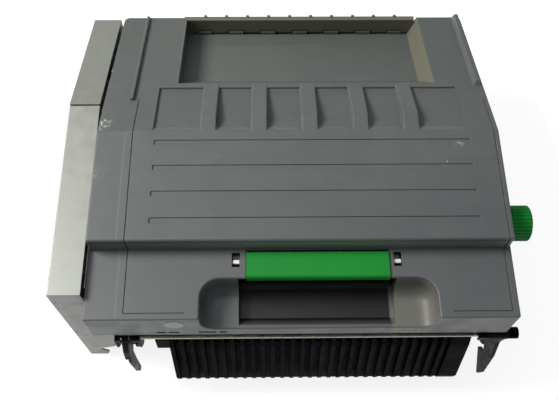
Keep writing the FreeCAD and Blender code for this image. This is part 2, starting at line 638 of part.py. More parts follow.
def case_screws():
    """Pan-head screws of the covers and of the frame plates."""
    screws = [pan_screw(V(SIDE_X, y, z), (-1, 0, 0)) for y, z in SIDE_POSTS]
    screws += [pan_screw(V(face, y, z), (1, 0, 0), length=13.0, radius=1.3)
               for y, z, face in COVER_SCREWS]
    for x, direction in ((LEFT_X, V(-1, 0, 0)), (RIGHT_X, V(1, 0, 0))):
        for y, z in PLATE_SCREWS:
            head = Part.makeCylinder(3.2, 2.0, V(x, y, z), direction)
            screws.append(head.cut(Part.makeCylinder(1.2, 1.4, V(x, y, z) + direction, direction)))
    return Part.makeCompound(screws)


# ---- note path -----------------------------------------------------------------------------------------
def roller_windows(centre, radius, z0, z1):
    half = radius + 1.5
    return [box(x - ROLLER_W / 2 - 1.5, x + ROLLER_W / 2 + 1.5, centre[0] - half, centre[0] + half,
                z0, z1) for x in ROLLER_X]


def lower_guide_plate():
    z0, z1 = GUIDE_Z - GUIDE_T, GUIDE_Z
    plate = flat_plate([(-124.5, -161.5, 2.0), (136.0, -161.5, 2.0), (136.0, 60.0, 4.0),
                        (-124.5, 60.0, 4.0)], z0, z1)
    hem = box(-124.5, 136.0, -161.5, -160.3, z0 - 1.6, z1)
    rear_lip = box(-124.5, 136.0, 58.8, 60.0, z0 - 8.0, z1)
    cuts = roller_windows(FEED_AXIS, 9.0, z0 - 1, z1 + 1) + roller_windows(REAR_AXIS, 9.0, z0 - 1, z1 + 1)
    cuts += [box(x - 4.2, x + 4.2, -152.0, -126.0, z0 - 0.5, z1 + 1) for x in GATE_X]
    cuts.append(box(-92.0, 92.0, -52.0, -40.0, z0 - 1, z1 + 1))
    return fuse([plate, hem, rear_lip]).cut(cuts)


def upper_guide_plate():
    z0 = GUIDE_Z + NOTE_GAP
    z1 = z0 + GUIDE_T
    plate = box(-96.0, 110.0, -150.0, 60.0, z0, z1)
    entry = side_plate([(-156.0, z0 + 2.2), (-150.0, z0), (-150.0, z1), (-156.0, z1 + 2.2)],
                       -96.0, 110.0)
    cuts = roller_windows(FEED_AXIS, 5.0, z0 - 1, z1 + 1) + roller_windows(REAR_AXIS, 5.0, z0 - 1, z1 + 1)
    cuts.append(box(-92.0, 92.0, -52.0, -40.0, z0 - 1, z1 + 1))
    return fuse([plate, entry]).cut(cuts)


def guide_stays():
    """Angle stays that carry both guide plates off the frame plates."""
    stays = []
    upper = GUIDE_Z + NOTE_GAP
    left, right = LEFT_X + PLATE_T, RIGHT_X - PLATE_T
    for y in (-70.0, 40.0):
        stays.append(box(left, -124.0, y, y + 12, 108.3, 111.8)
                     .fuse(box(left, left + 1.5, y, y + 12, 98.0, 111.8)))
        stays.append(box(126.0, right, y, y + 12, 110.2, 111.8)
                     .fuse(box(right - 1.5, right, y, y + 12, 98.0, 111.8)))
        stays.append(box(110.0, right, y + 20, y + 30, upper, upper + GUIDE_T))
        stays.append(box(left, -96.0, y + 20, y + 30, upper, upper + GUIDE_T))
    return Part.makeCompound(stays + gate_brackets())


def image_sensor(z0, z1):
    return box(-91.0, 91.0, -51.5, -40.5, z0, z1)


def lower_image_sensor():
    base = image_sensor(92.0, 110.6)
    ears = [box(x, x + 8.0, -54.0, -38.0, 106.0, 108.0) for x in (-100.0, 92.0)]
    return fuse([base, box(-92.0, 93.0, -50.0, -42.0, 106.0, 108.0)] + ears)


def upper_image_sensor():
    base = image_sensor(117.4, 134.0)
    return base.fuse(box(-60.0, 60.0, -49.0, -43.0, 134.0, 138.0))


def sensor_glasses():
    return Part.makeCompound([image_sensor(110.6, 112.9), image_sensor(115.1, 117.4)])


# ---- drive --------------------------------------------------------------------------------------------
def roller_set(centre, radius, inner, width=ROLLER_W):
    return Part.makeCompound([tube(x - width / 2, x + width / 2, centre, radius, inner)
                              for x in ROLLER_X])


def drive_shaft(centre, right_end):
    shaft = rod(-163.0, right_end, centre, SHAFT_R)
    return shaft.fuse(rod(-140.0, 140.0, centre, SHAFT_R + 0.8)).removeSplitter()


def drive_rollers(centre):
    return roller_set(centre, ROLLER_R, SHAFT_R + 0.8)


def drive_pulley(centre, bore=SHAFT_R):
    x0, x1 = -160.5, -152.0
    teeth = toothed(x0, x1, centre, PULLEY_TEETH, 2 * (PULLEY_R - 0.9) / PULLEY_TEETH, bore, slim=0.2)
    rims = [tube(x, x + 1.0, centre, PULLEY_R + 2.2, bore) for x in (x0 - 1.0, x1)]
    return fuse([teeth] + rims)


def drive_belt():
    """Closed belt around the two shaft pulleys and the motor pulley."""
    centres = [FEED_AXIS, MOTOR_AXIS, REAR_AXIS]
    loops = []
    for r in (PULLEY_R + 1.6, PULLEY_R + 0.4):
        corners = []
        for a, b in zip(centres, centres[1:] + centres[:1]):
            run = math.hypot(b[0] - a[0], b[1] - a[1])
            out_y = (b[1] - a[1]) / run * r
            out_z = (a[0] - b[0]) / run * r
            corners += [(a[0] + out_y, a[1] + out_z), (b[0] + out_y, b[1] + out_z)]
        rounds = [rod(*BELT_X, centre, r) for centre in centres]
        loops.append(fuse([side_plate(corners, *BELT_X)] + rounds))
    return loops[0].cut(loops[1])


def feed_gear():
    gear = toothed(151.0, 155.8, FEED_AXIS, FEED_TEETH, MODULE, SHAFT_R, phase=math.pi / 2)
    holes = [rod(150, 157, (FEED_AXIS[0] + 17 * math.cos(a), FEED_AXIS[1] + 17 * math.sin(a)), 4.0)
             for a in [math.pi / 3 * k for k in range(6)]]
    return gear.cut(holes)


def knob_gear():
    phase = -math.pi / 2 + math.pi / KNOB_TEETH
    return toothed(151.0, 155.8, KNOB_AXIS, KNOB_TEETH, MODULE, SHAFT_R, phase=phase)


def knob_shaft():
    return rod(126.0, KNOB_SHAFT_END, KNOB_AXIS, SHAFT_R)


def knob_bracket():
    """Folded bracket that carries the inner end of the knob's shaft."""
    y0, y1 = KNOB_AXIS[0] - 14, KNOB_AXIS[0] + 14
    cheek = side_plate([(y0, 128.0), (y1, 128.0), (y1, 156.0, 8.0), (y0, 156.0, 8.0)], 130.0, 132.0)
    foot = box(130.0, RIGHT_X - PLATE_T, y0, y1, 128.0, 129.6)
    foot = foot.fuse(box(RIGHT_X - PLATE_T - 1.5, RIGHT_X - PLATE_T, y0, y1, 128.0, 134.5))
    return cheek.fuse(foot).cut(rod(129, 133, KNOB_AXIS, SHAFT_R + RUNNING)).removeSplitter()


def feed_knob():
    """Fluted hand knob with a plain collar on its inner side."""
    flutes = 30
    points = []
    for k in range(flutes):
        for step, r in ((0.0, KNOB_R), (0.3, KNOB_R), (0.5, KNOB_R - 0.9), (0.8, KNOB_R - 0.9)):
            angle = 2 * math.pi * (k + step) / flutes
            points.append((KNOB_AXIS[0] + r * math.cos(angle), KNOB_AXIS[1] + r * math.sin(angle)))
    body = side_plate(points, KNOB_X[0] + 3.0, KNOB_X[1])
    limit = rod(KNOB_X[0] + 3.0, KNOB_X[1], KNOB_AXIS, KNOB_R + 1)
    limit = soften(limit, 4.6, lambda e: abs(e.CenterOfMass.x - KNOB_X[1]) < 0.01 and e.Length > 50)
    body = body.common(limit)
    collar = rod(KNOB_X[0], KNOB_X[0] + 3.2, KNOB_AXIS, KNOB_R - 1.4)
    dish = rod(KNOB_X[1] - 1.6, KNOB_X[1] + 1, KNOB_AXIS, 7.4)
    bore = rod(KNOB_X[0] - 1, KNOB_SHAFT_END, KNOB_AXIS, SHAFT_R)
    return body.fuse(collar).cut([dish, bore]).removeSplitter()


def pinch_roller_set(y):
    """Idler shaft with its four rollers."""
    centre = (y, PINCH_Z)
    rollers = roller_set(centre, PINCH_R, PINCH_SHAFT_R, 12.0)
    return Part.makeCompound([rod(-92.0, 92.0, centre, PINCH_SHAFT_R)] + rollers.Solids)


def pinch_holders():
    """Forked holders on the upper guide plate, two to each pinch shaft."""
    z0 = GUIDE_Z + NOTE_GAP + GUIDE_T
    parts = []
    for y in (FEED_AXIS[0], REAR_AXIS[0]):
        for x in (-52.0, 48.0):
            block = side_plate([(y - 9, z0), (y + 9, z0), (y + 6, PINCH_Z + 6.0, 3.0),
                                (y - 6, PINCH_Z + 6.0, 3.0)], x, x + 4.0)
            parts.append(block.cut(rod(x - 1, x + 5, (y, PINCH_Z), PINCH_SHAFT_R + RUNNING)))
    return Part.makeCompound(parts)


def drive_motor():
    body = rod(LEFT_X + PLATE_T + 2.0, -104.0, MOTOR_AXIS, 18.0)
    flange = side_plate(rectangle(MOTOR_AXIS[0] - 24, MOTOR_AXIS[0] + 24, MOTOR_AXIS[1] - 19,
                                  MOTOR_AXIS[1] + 19, 5.0), LEFT_X + PLATE_T, LEFT_X + PLATE_T + 2.0)
    spigot = rod(LEFT_X - 0.5, LEFT_X + PLATE_T, MOTOR_AXIS, 11.0)
    rear = rod(-104.0, -100.0, MOTOR_AXIS, 9.0)
    socket = box(-116.0, -106.0, MOTOR_AXIS[0] - 6, MOTOR_AXIS[0] + 6, MOTOR_AXIS[1] - 24,
                 MOTOR_AXIS[1] - 15)
    motor = fuse([body, flange, spigot, rear, socket])
    return motor.cut(rod(LEFT_X - 2, -110.0, MOTOR_AXIS, MOTOR_SHAFT_R + RUNNING))


def motor_shaft():
    """Motor shaft and the drive pulley on it."""
    shaft = rod(-162.0, -111.0, MOTOR_AXIS, MOTOR_SHAFT_R)
    return Part.makeCompound([shaft, drive_pulley(MOTOR_AXIS, MOTOR_SHAFT_R)])


# ---- diverter gate -------------------------------------------------------------------------------------
def gate_shaft():
    """Gate shaft with its staked lever and the lever's pin."""
    y, z = GATE_AXIS
    x0, x1 = SOLENOID_X + 3.2, SOLENOID_X + 5.6
    arm = side_plate([(y - 4.5, z + 4.5, 3.6), (y - 3.0, z - GATE_ARM - 3.0, 2.5),
                      (y + 3.0, z - GATE_ARM - 3.0, 2.5), (y + 4.5, z + 4.5, 3.6)], x0, x1)
    pin = rod(SOLENOID_X - 4.0, x0 + 1, (y, z - GATE_ARM), 1.6)
    return fuse([rod(-101.0, 101.0, GATE_AXIS, GATE_R), arm, pin])


def gate_fingers():
    y, z = GATE_AXIS
    fingers = []
    for x in GATE_X:
        blade = side_plate([(y - 4.0, z + 3.0), (y - 14.0, z + 8.6), (y - 13.4, z + 6.0),
                            (y - 3.0, z - 3.0)], x - 3.0, x + 3.0)
        fingers.append(blade.fuse(rod(x - 3.5, x + 3.5, GATE_AXIS, 4.5)).cut(
            rod(x - 5, x + 5, GATE_AXIS, GATE_R)))
    return Part.makeCompound(fingers)


def gate_brackets():
    y, z = GATE_AXIS
    ears = []
    for x0, x1 in ((-99.0, -97.0), (97.0, 99.0)):
        ear = side_plate([(y - 5.0, z + 5.0, 3.0), (y - 5.0, z - 6.0, 3.0), (-118.0, z - 22.0),
                          (-118.0, z - 2.0)], x0, x1)
        foot = box(x0 - 5.0, x1 + 5.0, -119.5, -118.0, z - 22.0, z - 2.0)
        ears.append(ear.fuse(foot).cut(rod(x0 - 1, x1 + 1, GATE_AXIS, GATE_R + RUNNING)).removeSplitter())
    return ears


def gate_solenoid():
    x, z = SOLENOID_X, SOLENOID_Z
    case = box(x - 10, x + 10, -115.5, -92.0, z - 9.0, z + 3.0)
    yoke = box(x - 11, x + 11, -116.5, -115.0, z - 11.0, z + 7.0)
    return case.fuse(yoke).cut(along_y(x, z - 3.0, -118, -94, 3.6)).removeSplitter()


def solenoid_plunger():
    """Plunger with a forked nose that holds the gate lever's pin."""
    x = SOLENOID_X
    z = SOLENOID_Z - 3.0
    stem = along_y(x, z, -127.0, -104.0, 3.3)
    nose = side_plate([(-139.0, z - 5.0, 1.5), (-126.0, z - 5.0), (-126.0, z + 5.0),
                       (-139.0, z + 9.0, 1.5)], x - 2.0, x + 2.0)
    pin_y, pin_z = GATE_AXIS[0], GATE_AXIS[1] - GATE_ARM
    slot = box(x - 3, x + 3, pin_y - 2.0, pin_y + 2.0, pin_z - 2.6, z + 12.0)
    return stem.fuse(nose).cut(slot).removeSplitter()


# ---- release bar and latch -----------------------------------------------------------------------------
def release_bar():
    """Pull bar across the hand recess, with two lugs down to its shaft."""
    x0, x1 = BAR_X
    y0, y1 = BAR_Y
    y, z = HANDLE_AXIS
    profile = [(y0, 148.5, 0.8), (y0, BAR_TOP_Z, 2.0), (y1, BAR_TOP_Z, 0.8), (y1, 153.4, 0.5),
               (y0 + 3.0, 153.4, 1.0), (y0 + 2.6, 148.5, 0.6)]
    bar = side_plate(profile, x0, x1)
    lugs = []
    for lx in (x0 + 6.0, x1 - 12.0):
        lug = side_plate([(-116.5, 154.0), (-109.6, 154.0), (-107.6, 150.8), (y + 4.4, z + 3.6, 3.0),
                          (y + 4.4, z - 4.5, 3.0), (y - 6.0, z - 4.5, 3.0)], lx, lx + 6.0)
        lugs.append(lug)
    return fuse([bar] + lugs).cut(rod(x0 - 5, x1 + 5, HANDLE_AXIS, LATCH_R))


def handle_links():
    """White end links seen in the slots beside the bar."""
    y, z = HANDLE_AXIS
    links = []
    for x in LINK_X:
        arm = side_plate([(y - 3.6, z - 3.4, 2.0), (y + 3.4, z - 3.4, 2.5), (y + 3.4, z + 2.6, 2.5),
                          (y - 4.6, z + 1.8), (-112.6, z + 1.2), (-112.6, 153.6, 1.0),
                          (-116.0, 153.6, 1.0), (-116.0, 142.6)], x - 2.6, x + 2.6)
        links.append(arm.cut(rod(x - 3, x + 3, HANDLE_AXIS, LATCH_R)))
    return Part.makeCompound(links)


def handle_shaft():
    return rod(-137.5, 84.5, HANDLE_AXIS, LATCH_R)


def lever(x0, x1, centre, length, pin_to):
    """Small crank: hub, arm straight down and a pin through the slide."""
    y, z = centre
    arm = side_plate([(y - 5.0, z + 4.6, 3.8), (y - 3.2, z - length - 3.0, 2.6),
                      (y + 3.2, z - length - 3.0, 2.6), (y + 5.0, z + 4.6, 3.8)], x0, x1)
    return arm.fuse(rod(x0, pin_to, (y, z - length), 2.0)).cut(rod(x0 - 1, x1 + 1, centre, LATCH_R))


def handle_lever():
    return lever(LEVER_X[0], LEVER_X[1], HANDLE_AXIS, HANDLE_ARM, SLIDE_X[1] + 0.6)


def latch_lever():
    return lever(LEVER_X[0], LEVER_X[1], LATCH_AXIS, LATCH_ARM, SLIDE_X[1] + 0.6)


def release_slide():
    """Slide plate that carries the bar's motion to the latch shaft."""
    hy, hz = HANDLE_AXIS[0], HANDLE_AXIS[1] - HANDLE_ARM
    ly, lz = LATCH_AXIS[0], LATCH_AXIS[1] - LATCH_ARM
    plate = side_plate([(-97.0, 133.0, 2.0), (-149.2, 133.0, 3.0), (-149.2, 100.0),
                        (-162.0, 97.0, 2.0), (-162.0, 89.0, 2.0), (-133.0, 87.0, 3.0),
                        (-133.0, 120.0, 3.0), (-97.0, 120.0, 2.0)], SLIDE_X[0], SLIDE_X[1])
    x0, x1 = SLIDE_X[0] - 1, SLIDE_X[1] + 1
    cuts = [box(x0, x1, hy - 2.35, hy + 2.35, hz - 2.4, 140.0),
            box(x0, x1, ly - 2.35, ly + 2.35, 80.0, lz + 3.2)]
    for y, z in SLIDE_STUDS:
        cuts.append(side_plate(rectangle(y - 2.4, y + 2.4 + SLIDE_TRAVEL, z - 2.3, z + 2.3, 2.2), x0, x1))
    return plate.cut(cuts)


def slide_studs():
    studs = []
    for y, z in SLIDE_STUDS:
        stud = rod(SLIDE_X[0] - 0.6, -126.6, (y, z), 2.0)
        studs.append(stud.fuse(rod(SLIDE_X[0] - 1.6, SLIDE_X[0] - 0.6, (y, z), 3.2)))
    return Part.makeCompound(studs)


def handle_bracket():
    """Folded bracket under the cover that carries the release bar's shaft."""
    web = box(-137.0, 84.0, -98.4, -96.9, 139.0, 168.5)
    ears = []
    for x0, x1 in ((-137.0, -135.5), (-60.0, -58.5), (82.5, 84.0)):
        ears.append(side_plate([(-110.0, 151.0, 3.0), (-110.0, 141.0, 3.0), (-98.0, 139.0),
                                (-98.0, 151.0)], x0, x1))
    bracket = fuse([web] + ears)
    return bracket.cut([rod(-140, 90, HANDLE_AXIS, LATCH_R + RUNNING),
                        box(-135.4, -127.0, -99.5, -96.0, 118.0, 152.0)])


def handle_return_spring():
    """Torsion spring around the release bar's shaft."""
    turns, pitch, radius, wire = 6, 1.5, 4.1, 0.5
    helix = Part.makeHelix(pitch, turns * pitch, radius)
    section = Part.Wire(Part.makeCircle(wire, V(radius, 0, 0), V(0, 1, 0)))
    coil = Part.Wire(helix).makePipeShell([section], True, True)
    coil.rotate(V(0, 0, 0), V(0, 1, 0), 90)
    coil.translate(V(-100.0, HANDLE_AXIS[0], HANDLE_AXIS[1]))
    return coil


def latch_shaft():
    return rod(-145.5, 172.0, LATCH_AXIS, LATCH_R)


def latch_end_bush():
    return tube(165.0, 172.4, LATCH_AXIS, 4.6, LATCH_R)


def right_latch_hook():
    """Hook plate with a lead-in point and a notch that opens to the rear."""
    plate = side_plate([(-162.5, 107.0, 4.0), (-160.6, 92.0, 12.0), (-166.7, 71.0, 8.0),
                        (-170.6, 33.0, 3.0), (-168.2, 19.0, 1.2), (-148.6, 36.0, 1.2),
                        (-159.0, 48.5, 1.8), (-152.0, 56.0, 1.5), (-153.0, 78.0, 8.0),
                        (-150.5, 98.0, 4.0), (-151.0, 110.0, 4.0)], RIGHT_HOOK_X[0], RIGHT_HOOK_X[1])
    sleeve = rod(148.2, 164.2, LATCH_AXIS, 5.0)
    return fuse([plate, sleeve]).cut(rod(140, 170, LATCH_AXIS, LATCH_R))


def left_latch_hook():
    """Narrower hook finger, doubled in thickness at its upper half."""
    upper = side_plate([(-163.0, 108.0, 4.0), (-168.5, 97.0, 5.0), (-171.0, 83.0, 3.0),
                        (-163.0, 78.0, 4.0), (-155.0, 84.0, 4.0), (-150.5, 104.0, 4.0)],
                       -139.5, -134.6)
    finger = side_plate([(-167.0, 96.0, 3.0), (-171.0, 76.0, 6.0), (-169.0, 40.0, 8.0),
                         (-166.0, 30.5, 2.0), (-162.4, 31.5, 1.6), (-162.0, 58.0, 8.0),
                         (-160.0, 80.0, 6.0), (-156.0, 96.0, 3.0)], -138.0, -135.4)
    hub = rod(-139.5, -134.6, LATCH_AXIS, 6.5)
    return fuse([upper, finger, hub]).cut(rod(-150, -130, LATCH_AXIS, LATCH_R))


def latch_bracket(x0, x1, ears, slot=None):
    """Top plate with a short front lip, hung under the front of the unit, and its ears."""
    top = box(x0, x1, -163.0, -118.0, 110.0, 111.6)
    lip = box(x0, x1, -163.0, -161.6, 105.8, 111.6)
    foot = box(x0, x1, -119.5, -118.0, 88.0, 111.6)
    parts = [top, lip, foot]
    for e0, e1 in ears:
        parts.append(side_plate([(-163.0, 111.6), (-164.0, 96.0, 5.0), (-158.0, 87.0, 6.0),
                                 (-136.0, 87.0, 4.0), (-130.0, 111.6)], e0, e1))
    bracket = fuse(parts).cut(rod(x0 - 1, x1 + 1, LATCH_AXIS, LATCH_R + RUNNING))
    return bracket.cut(slot) if slot else bracket


def left_latch_bracket():
    slot = box(SLIDE_X[0] - 0.8, SLIDE_X[1] + 0.8, -158.5, -131.0, 109.0, 113.0)
    hook_slot = box(-140.3, LEVER_X[1] + 0.6, -166.0, -148.0, 100.0, 113.0)
    return latch_bracket(-144.6, -125.0, ((-144.6, -143.1), (-126.6, -125.0)),
                         slot.fuse(hook_slot))


def right_latch_bracket():
    return latch_bracket(139.6, 147.8, ((146.2, 147.8),))


# ---- comb guide -------------------------------------------------------------------------------------------
def comb_outline(back):
    """Side view of a fin; back is how far its rear edge stands behind the front edge."""
    return [(-160.6, 109.0), (-164.4, 98.0, 12.0), (-175.6, 42.0, 6.0), (-174.0, COMB_BOTTOM_Z, 2.0),
            (-176.0 + back, COMB_BOTTOM_Z + 2.0, 2.0), (-165.4 + back, 92.0, 8.0),
            (-150.4, 97.0, 3.0), (-150.4, 109.0)]


def front_comb_guide():
    fins = [side_plate(comb_outline(10.0), FIN_FIRST_X + FIN_PITCH * k,
                       FIN_FIRST_X + FIN_PITCH * k + FIN_WIDTH) for k in range(FIN_COUNT)]
    end = side_plate(comb_outline(10.0), *COMB_END_X)
    left_block = side_plate([(-161.5, 108.0, 2.0), (-163.0, 88.0, 3.0), (-150.4, 84.0, 2.0),
                             (-150.4, 108.0)], -113.6, FIN_FIRST_X + 1)
    web = side_plate([(-170.6, COMB_WEB_Z), (-169.5, 40.0), (-158.4, 90.0), (-150.4, 93.0),
                      (-150.4, 97.0), (-160.0, 95.0), (-172.0, 44.0), (-173.6, COMB_WEB_Z)], FIN_FIRST_X, COMB_END_X[0] + 1)
    top = box(FIN_FIRST_X, COMB_END_X[0] + 1, -154.0, -150.4, 97.0, 109.0)
    arms = [box(x, x + 6.0, -151.0, -118.0, 98.0, 104.0) for x in (-112.0, COMB_END_X[1] - 7.0)]
    comb = fuse(fins + [end, left_block, web, top] + arms)
    return comb.cut(rod(-120, 145, LATCH_AXIS, LATCH_R + 0.5))


# ---- electronics ------------------------------------------------------------------------------------------
def control_board():
    board = flat_plate(rectangle(BOARD_X[0], BOARD_X[1], BOARD_Y[0], BOARD_Y[1], 3.0),
                       BOARD_Z, BOARD_Z + BOARD_T)
    return board.cut([upright(x, y, 0, 30, 1.7) for x, y in board_corners()])


def board_corners():
    inset = 6.0
    return [(x, y) for x in (BOARD_X[0] + inset, BOARD_X[1] - inset)
            for y in (BOARD_Y[0] + inset, BOARD_Y[1] - inset)]


def board_components():
    """Chips, a heat sink and a row of capacitors; places are from the board's near corner."""
    z = BOARD_Z + BOARD_T
    chips = [(26.0, 30.0, 22.0, 22.0, 2.2), (62.0, 32.0, 14.0, 20.0, 2.0),
             (96.0, 20.0, 18.0, 12.0, 2.0), (28.0, 78.0, 14.0, 10.0, 2.0),
             (56.0, 76.0, 20.0, 14.0, 6.0), (100.0, 66.0, 24.0, 16.0, 9.0)]
    parts = []
    for dx, dy, width, depth, height in chips:
        x, y = BOARD_X[0] + dx, BOARD_Y[0] + dy
        parts.append(box(x, x + width, y, y + depth, z, z + height))
    parts += [upright(BOARD_X[0] + 30.0 + 14.0 * k, BOARD_Y[0] + 112.0, z, z + 13.0, 5.0)
              for k in range(4)]
    return Part.makeCompound(parts)


def board_connectors():
    """Headers along the board, and the two sockets that face out of the right frame plate."""
    z = BOARD_Z + BOARD_T
    parts = []
    for k in range(3):
        x = BOARD_X[0] + 14.0 + 30.0 * k
        y = BOARD_Y[1] - 16.0
        shell = box(x, x + 22.0, y, y + 7.0, z, z + 9.0)
        parts.append(shell.cut(box(x + 1, x + 21.0, y + 1.2, y + 5.8, z + 1.5, z + 10)))
    for y, length in SOCKETS:
        shell = box(124.0, RIGHT_X + 1.4, y, y + length, z, z + 16.0)
        parts.append(shell.cut(box(132.0, RIGHT_X + 2, y + 1.4, y + length - 1.4, z + 1.4, z + 14.6)))
    return Part.makeCompound(parts)


NODES = {
    "top_cover": top_cover,
    "rear_note_guide": rear_note_guide,
    "inspection_label": inspection_label,
    "left_side_cover_front": left_side_cover_front,
    "left_side_cover_rear": left_side_cover_rear,
    "left_frame_plate": left_frame_plate,
    "right_frame_plate": right_frame_plate,
    "pivot_bushes": pivot_bushes,
    "shaft_bearings": shaft_bearings,
    "base_pan": base_pan,
    "mounting_posts": mounting_posts,
    "case_screws": case_screws,
    "front_cross_beam": front_cross_beam,
    "rear_cross_beam": rear_cross_beam,
    "lower_guide_plate": lower_guide_plate,
    "upper_guide_plate": upper_guide_plate,
    "guide_stays": guide_stays,
    "lower_image_sensor": lower_image_sensor,
    "upper_image_sensor": upper_image_sensor,
    "sensor_glasses": sensor_glasses,
    "front_comb_guide": front_comb_guide,
    "left_latch_bracket": left_latch_bracket,
    "right_latch_bracket": right_latch_bracket,
    "latch_shaft": latch_shaft,
    "left_latch_hook": left_latch_hook,
    "right_latch_hook": right_latch_hook,
    "latch_lever": latch_lever,
    "latch_end_bush": latch_end_bush,
    "release_slide": release_slide,
    "slide_studs": slide_studs,
    "release_bar": release_bar,
    "handle_links": handle_links,
    "handle_shaft": handle_shaft,
    "handle_lever": handle_lever,
    "handle_bracket": handle_bracket,
    "handle_return_spring": handle_return_spring,
    "feed_knob": feed_knob,
    "knob_shaft": knob_shaft,
    "knob_gear": knob_gear,
    "knob_bracket": knob_bracket,
    "feed_shaft": lambda: drive_shaft(FEED_AXIS, 157.0).cut(rod(156.2, 160.0, FEED_AXIS, 6.0)),
    "feed_rollers": lambda: drive_rollers(FEED_AXIS),
    "feed_gear": feed_gear,
    "feed_pulley": lambda: drive_pulley(FEED_AXIS),
    "rear_shaft": lambda: drive_shaft(REAR_AXIS, 151.0),
    "rear_rollers": lambda: drive_rollers(REAR_AXIS),
    "rear_pulley": lambda: drive_pulley(REAR_AXIS),
    "front_pinch_rollers": lambda: pinch_roller_set(FEED_AXIS[0]),
    "rear_pinch_rollers": lambda: pinch_roller_set(REAR_AXIS[0]),
    "pinch_holders": pinch_holders,
    "drive_motor": drive_motor,
    "motor_shaft": motor_shaft,
    "drive_belt": drive_belt,
    "gate_shaft": gate_shaft,
    "gate_fingers": gate_fingers,
    "gate_solenoid": gate_solenoid,
    "solenoid_plunger": solenoid_plunger,
    "control_board": control_board,
    "board_components": board_components,
    "board_connectors": board_connectors,
}


if __name__ == "__main__":
    os.makedirs("parts", exist_ok=True)
    for name, make in NODES.items():
        shape = make()
        if not shape.isValid():
            print("not valid:", name)
        shape.exportStep("parts/" + name + ".step")
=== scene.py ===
"""Looks of the note-transport unit: finishes for every part, finer pieces where the CAD is plain,
a pale studio and the camera. Metres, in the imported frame: +X right, +Y to the rear, +Z up."""
import json
import math

import bmesh
import bpy
from mathutils import Matrix, Vector


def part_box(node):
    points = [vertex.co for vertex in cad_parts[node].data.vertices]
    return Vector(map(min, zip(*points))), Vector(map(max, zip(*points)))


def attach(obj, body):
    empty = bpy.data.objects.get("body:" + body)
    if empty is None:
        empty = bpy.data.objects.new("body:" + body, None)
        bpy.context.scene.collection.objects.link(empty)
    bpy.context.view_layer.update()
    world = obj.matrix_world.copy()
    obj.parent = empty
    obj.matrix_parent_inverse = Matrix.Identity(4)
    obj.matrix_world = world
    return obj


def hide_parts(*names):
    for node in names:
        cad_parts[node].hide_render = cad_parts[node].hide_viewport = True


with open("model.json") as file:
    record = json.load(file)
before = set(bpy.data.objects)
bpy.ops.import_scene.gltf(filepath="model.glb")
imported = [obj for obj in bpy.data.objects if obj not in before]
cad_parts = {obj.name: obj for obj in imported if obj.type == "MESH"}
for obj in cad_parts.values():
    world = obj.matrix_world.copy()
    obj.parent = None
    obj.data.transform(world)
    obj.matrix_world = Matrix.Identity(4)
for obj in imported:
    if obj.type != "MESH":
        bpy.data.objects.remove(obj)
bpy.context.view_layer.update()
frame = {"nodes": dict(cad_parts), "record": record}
MM = 0.001

# Ranges of X, Y and Z on the cover where its colour is set by place, as painted light and shade
LIP = ((-0.20, 0.20), (-0.112, -0.084), (0.1540, 0.1680))           # step up to the panel
POCKET_RIGHT_WALL = ((0.108, 0.1225), (0.040, 0.149), (0.090, 0.170))
POCKET_FLOOR = ((-0.102, 0.113), (0.062, 0.149), (0.100, 0.140))
POCKET_TABS = ((-0.102, 0.113), (0.1462, 0.152), (0.0934, 0.099))
GROOVE_HIGHLIGHT = ((-0.1376, -0.1366), (-0.158, -0.012), (0.145, 0.180))       # painted highlight beside the left groove
CUP_Y, CUP_Z = (-0.170, -0.1045), (0.110, 0.1535)
SCOOP_Y, SCOOP_Z = (-0.172, -0.118), (0.100, 0.1515)
LINK_X = (-49.0 * MM, 73.6 * MM)                                    # middles of the link slots
LINK_HALF = 7 * MM
LINK_Y, LINK_Z = (-0.1235, -0.0975), (0.120, 0.1535)
SLOT_SHADE_Z = (0.1526, 0.1508)                                     # links darken between these
CUP_MARGIN = (6.5 * MM, 2.5 * MM)                                   # beyond the bar's two ends
CUP_FADE_Y = (-0.1598, -0.150)                                      # dark from the second on
SCOOP_AFTER_BAR = (3 * MM, 36 * MM)                                 # to the right of the bar
GUIDE_FRONT = 8.1 * MM                                              # foot's edge to the wall's face
GUIDE_RECESS_Z, GUIDE_FOOT_Z = (0.080, 0.1006), (0.080, 0.0942)

SCREW_HEAD = 1.9 * MM                                               # height of a pan head
SCREW_FACETS = 32
# Height and radius of each ring of a head, as shares of its own
SCREW_RINGS = ((0.0, 1.0), (0.42, 1.0), (0.72, 0.92), (0.92, 0.76), (1.0, 0.56))
RECESS_REACH, RECESS_HALF = 0.46, 0.10                              # arms, in head radii
RECESS_FLOOR, RECESS_TAPER = 0.35, 0.55


# ---- node graphs -----------------------------------------------------------------------------
def tone(red, green, blue):
    """Linear colour from display values between 0 and 255."""
    channels = []
    for value in (red, green, blue):
        c = value / 255.0
        channels.append(c / 12.92 if c <= 0.04045 else ((c + 0.055) / 1.055) ** 2.4)
    return (*channels, 1.0)


